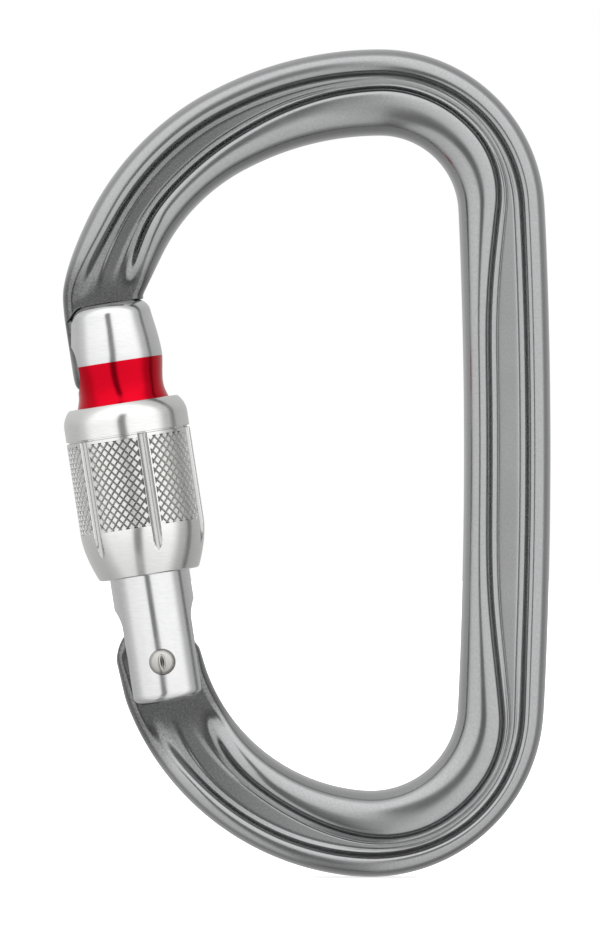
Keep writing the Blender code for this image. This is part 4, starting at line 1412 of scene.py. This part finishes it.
rightness = math_node(sky, "MULTIPLY_ADD", towards["X"], WALL_TURN, 0.5)
rightness = math_node(sky, "SMOOTH_MAX", rightness, 0.0, WALL_EDGE)
rightness = math_node(sky, "SMOOTH_MIN", rightness, 1.0, WALL_EDGE)
walls = add_node(sky, "ShaderNodeMix", Factor=rightness, A=wall_levels(LEFT_WALL), B=wall_levels(RIGHT_WALL))
level = math_node(sky, "MULTIPLY", open_wall, walls.outputs["Result"])
top_share = math_node(sky, "ADD", 1.0, math_node(sky, "MULTIPLY", towards["Z"], TENT_TOP))
level = math_node(sky, "MAXIMUM", math_node(sky, "MULTIPLY", level, top_share), GAP_LEVEL)
grey = add_node(sky, "ShaderNodeCombineColor", Red=level, Green=level, Blue=level)
tent = sky.nodes["Background"]
tent.inputs["Strength"].default_value = TENT_LEVEL
sky.links.new(grey.outputs[0], tent.inputs["Color"])
white = add_node(sky, "ShaderNodeBackground", Color=(1, 1, 1, 1))
seen = add_node(sky, "ShaderNodeLightPath").outputs["Is Camera Ray"]
choose = add_node(sky, "ShaderNodeMixShader", Fac=seen)
sky.links.new(tent.outputs[0], choose.inputs[1])
sky.links.new(white.outputs[0], choose.inputs[2])
sky.links.new(choose.outputs[0], sky.nodes["World Output"].inputs["Surface"])
print(f"tent: {len(LEFT_WALL)} levels on the left wall, {len(RIGHT_WALL)} on the right")

# %% [markdown]
# The floor is a plain pale sheet that takes the object's shadow. For the camera it glows a little, so that
# it meets the white round it without a line. In reflections it isn't there at all: a mirror-like edge right
# above it would show it, and the tent's own lower half is a better picture for the metal.

# %% Floor
FLOOR_HALF = 3.0
FLOOR_DROP = 0.05 * MM
FLOOR_WHITE = 0.95
FLOOR_ROUGHNESS = 0.9
FLOOR_GLOW = 0.7
low, high = (np.array(corner) for corner in solid_box)
floor_maker = bmesh.new()
bmesh.ops.create_grid(floor_maker, x_segments=1, y_segments=1, size=FLOOR_HALF)
floor = new_piece("floor", floor_maker)
floor.location = (0, 0, low[2] - FLOOR_DROP)
pale = bpy.data.materials.new("pale_floor")
pale.use_nodes = True
tree = pale.node_tree
sheet = tree.nodes["Principled BSDF"]
sheet.inputs["Base Color"].default_value = (FLOOR_WHITE, FLOOR_WHITE, FLOOR_WHITE, 1)
sheet.inputs["Roughness"].default_value = FLOOR_ROUGHNESS
sheet.inputs["Emission Color"].default_value = (1, 1, 1, 1)
ray = add_node(tree, "ShaderNodeLightPath").outputs
glow = math_node(tree, "MULTIPLY", ray["Is Camera Ray"], FLOOR_GLOW)
tree.links.new(glow, sheet.inputs["Emission Strength"])
unseen = add_node(tree, "ShaderNodeBsdfTransparent")
pass_by = add_node(tree, "ShaderNodeMixShader", Fac=ray["Is Glossy Ray"])
tree.links.new(sheet.outputs[0], pass_by.inputs[1])
tree.links.new(unseen.outputs[0], pass_by.inputs[2])
tree.links.new(pass_by.outputs[0], tree.nodes["Material Output"].inputs["Surface"])
floor.data.materials.append(pale)
print(f"floor: {FLOOR_DROP / MM:.2f} mm under the object")

# %% [markdown]
# Two weak soft lights, from above and from the front, help the tent along. They are hidden from reflections,
# so that no bright square shows in the polish. The camera looks straight on, as the photographer's did: a
# long lens far away keeps the outline as flat as in a catalogue picture.

# %% Lamps and camera
LAMPS = (
    ("top_light", (-0.2, -0.3, 0.9), 1.0, 3.0),
    ("front_light", (0.3, -1.0, 0.4), 1.0, 2.0),
)
VIEW_HEIGHT = 0.12542
VIEW_MIDDLE = (-0.01085, -0.04427)
CAMERA_DISTANCE = 1.2
SENSOR_HEIGHT = 36.0
CAMERA_REACH = 20.0
aim = (low + high) / 2
for name, place, width, power in LAMPS:
    light = bpy.data.lights.new(name, "AREA")
    light.size = width
    light.energy = power
    lamp = bpy.data.objects.new(name, light)
    scene.collection.objects.link(lamp)
    lamp.location = place
    lamp.rotation_euler = Vector(aim - np.array(place)).to_track_quat("-Z", "Y").to_euler()
    lamp.visible_glossy = False
camera = bpy.data.cameras.new("camera")
camera.sensor_fit = "VERTICAL"
camera.sensor_height = SENSOR_HEIGHT
camera.lens = SENSOR_HEIGHT * CAMERA_DISTANCE / VIEW_HEIGHT
camera.clip_end = CAMERA_REACH
viewer = bpy.data.objects.new("camera", camera)
scene.collection.objects.link(viewer)
viewer.location = (VIEW_MIDDLE[0], -CAMERA_DISTANCE, VIEW_MIDDLE[1])
viewer.rotation_euler = (math.radians(90), 0, 0)
scene.camera = viewer
print(f"{len(LAMPS)} lamps, camera lens {camera.lens:.0f} mm")
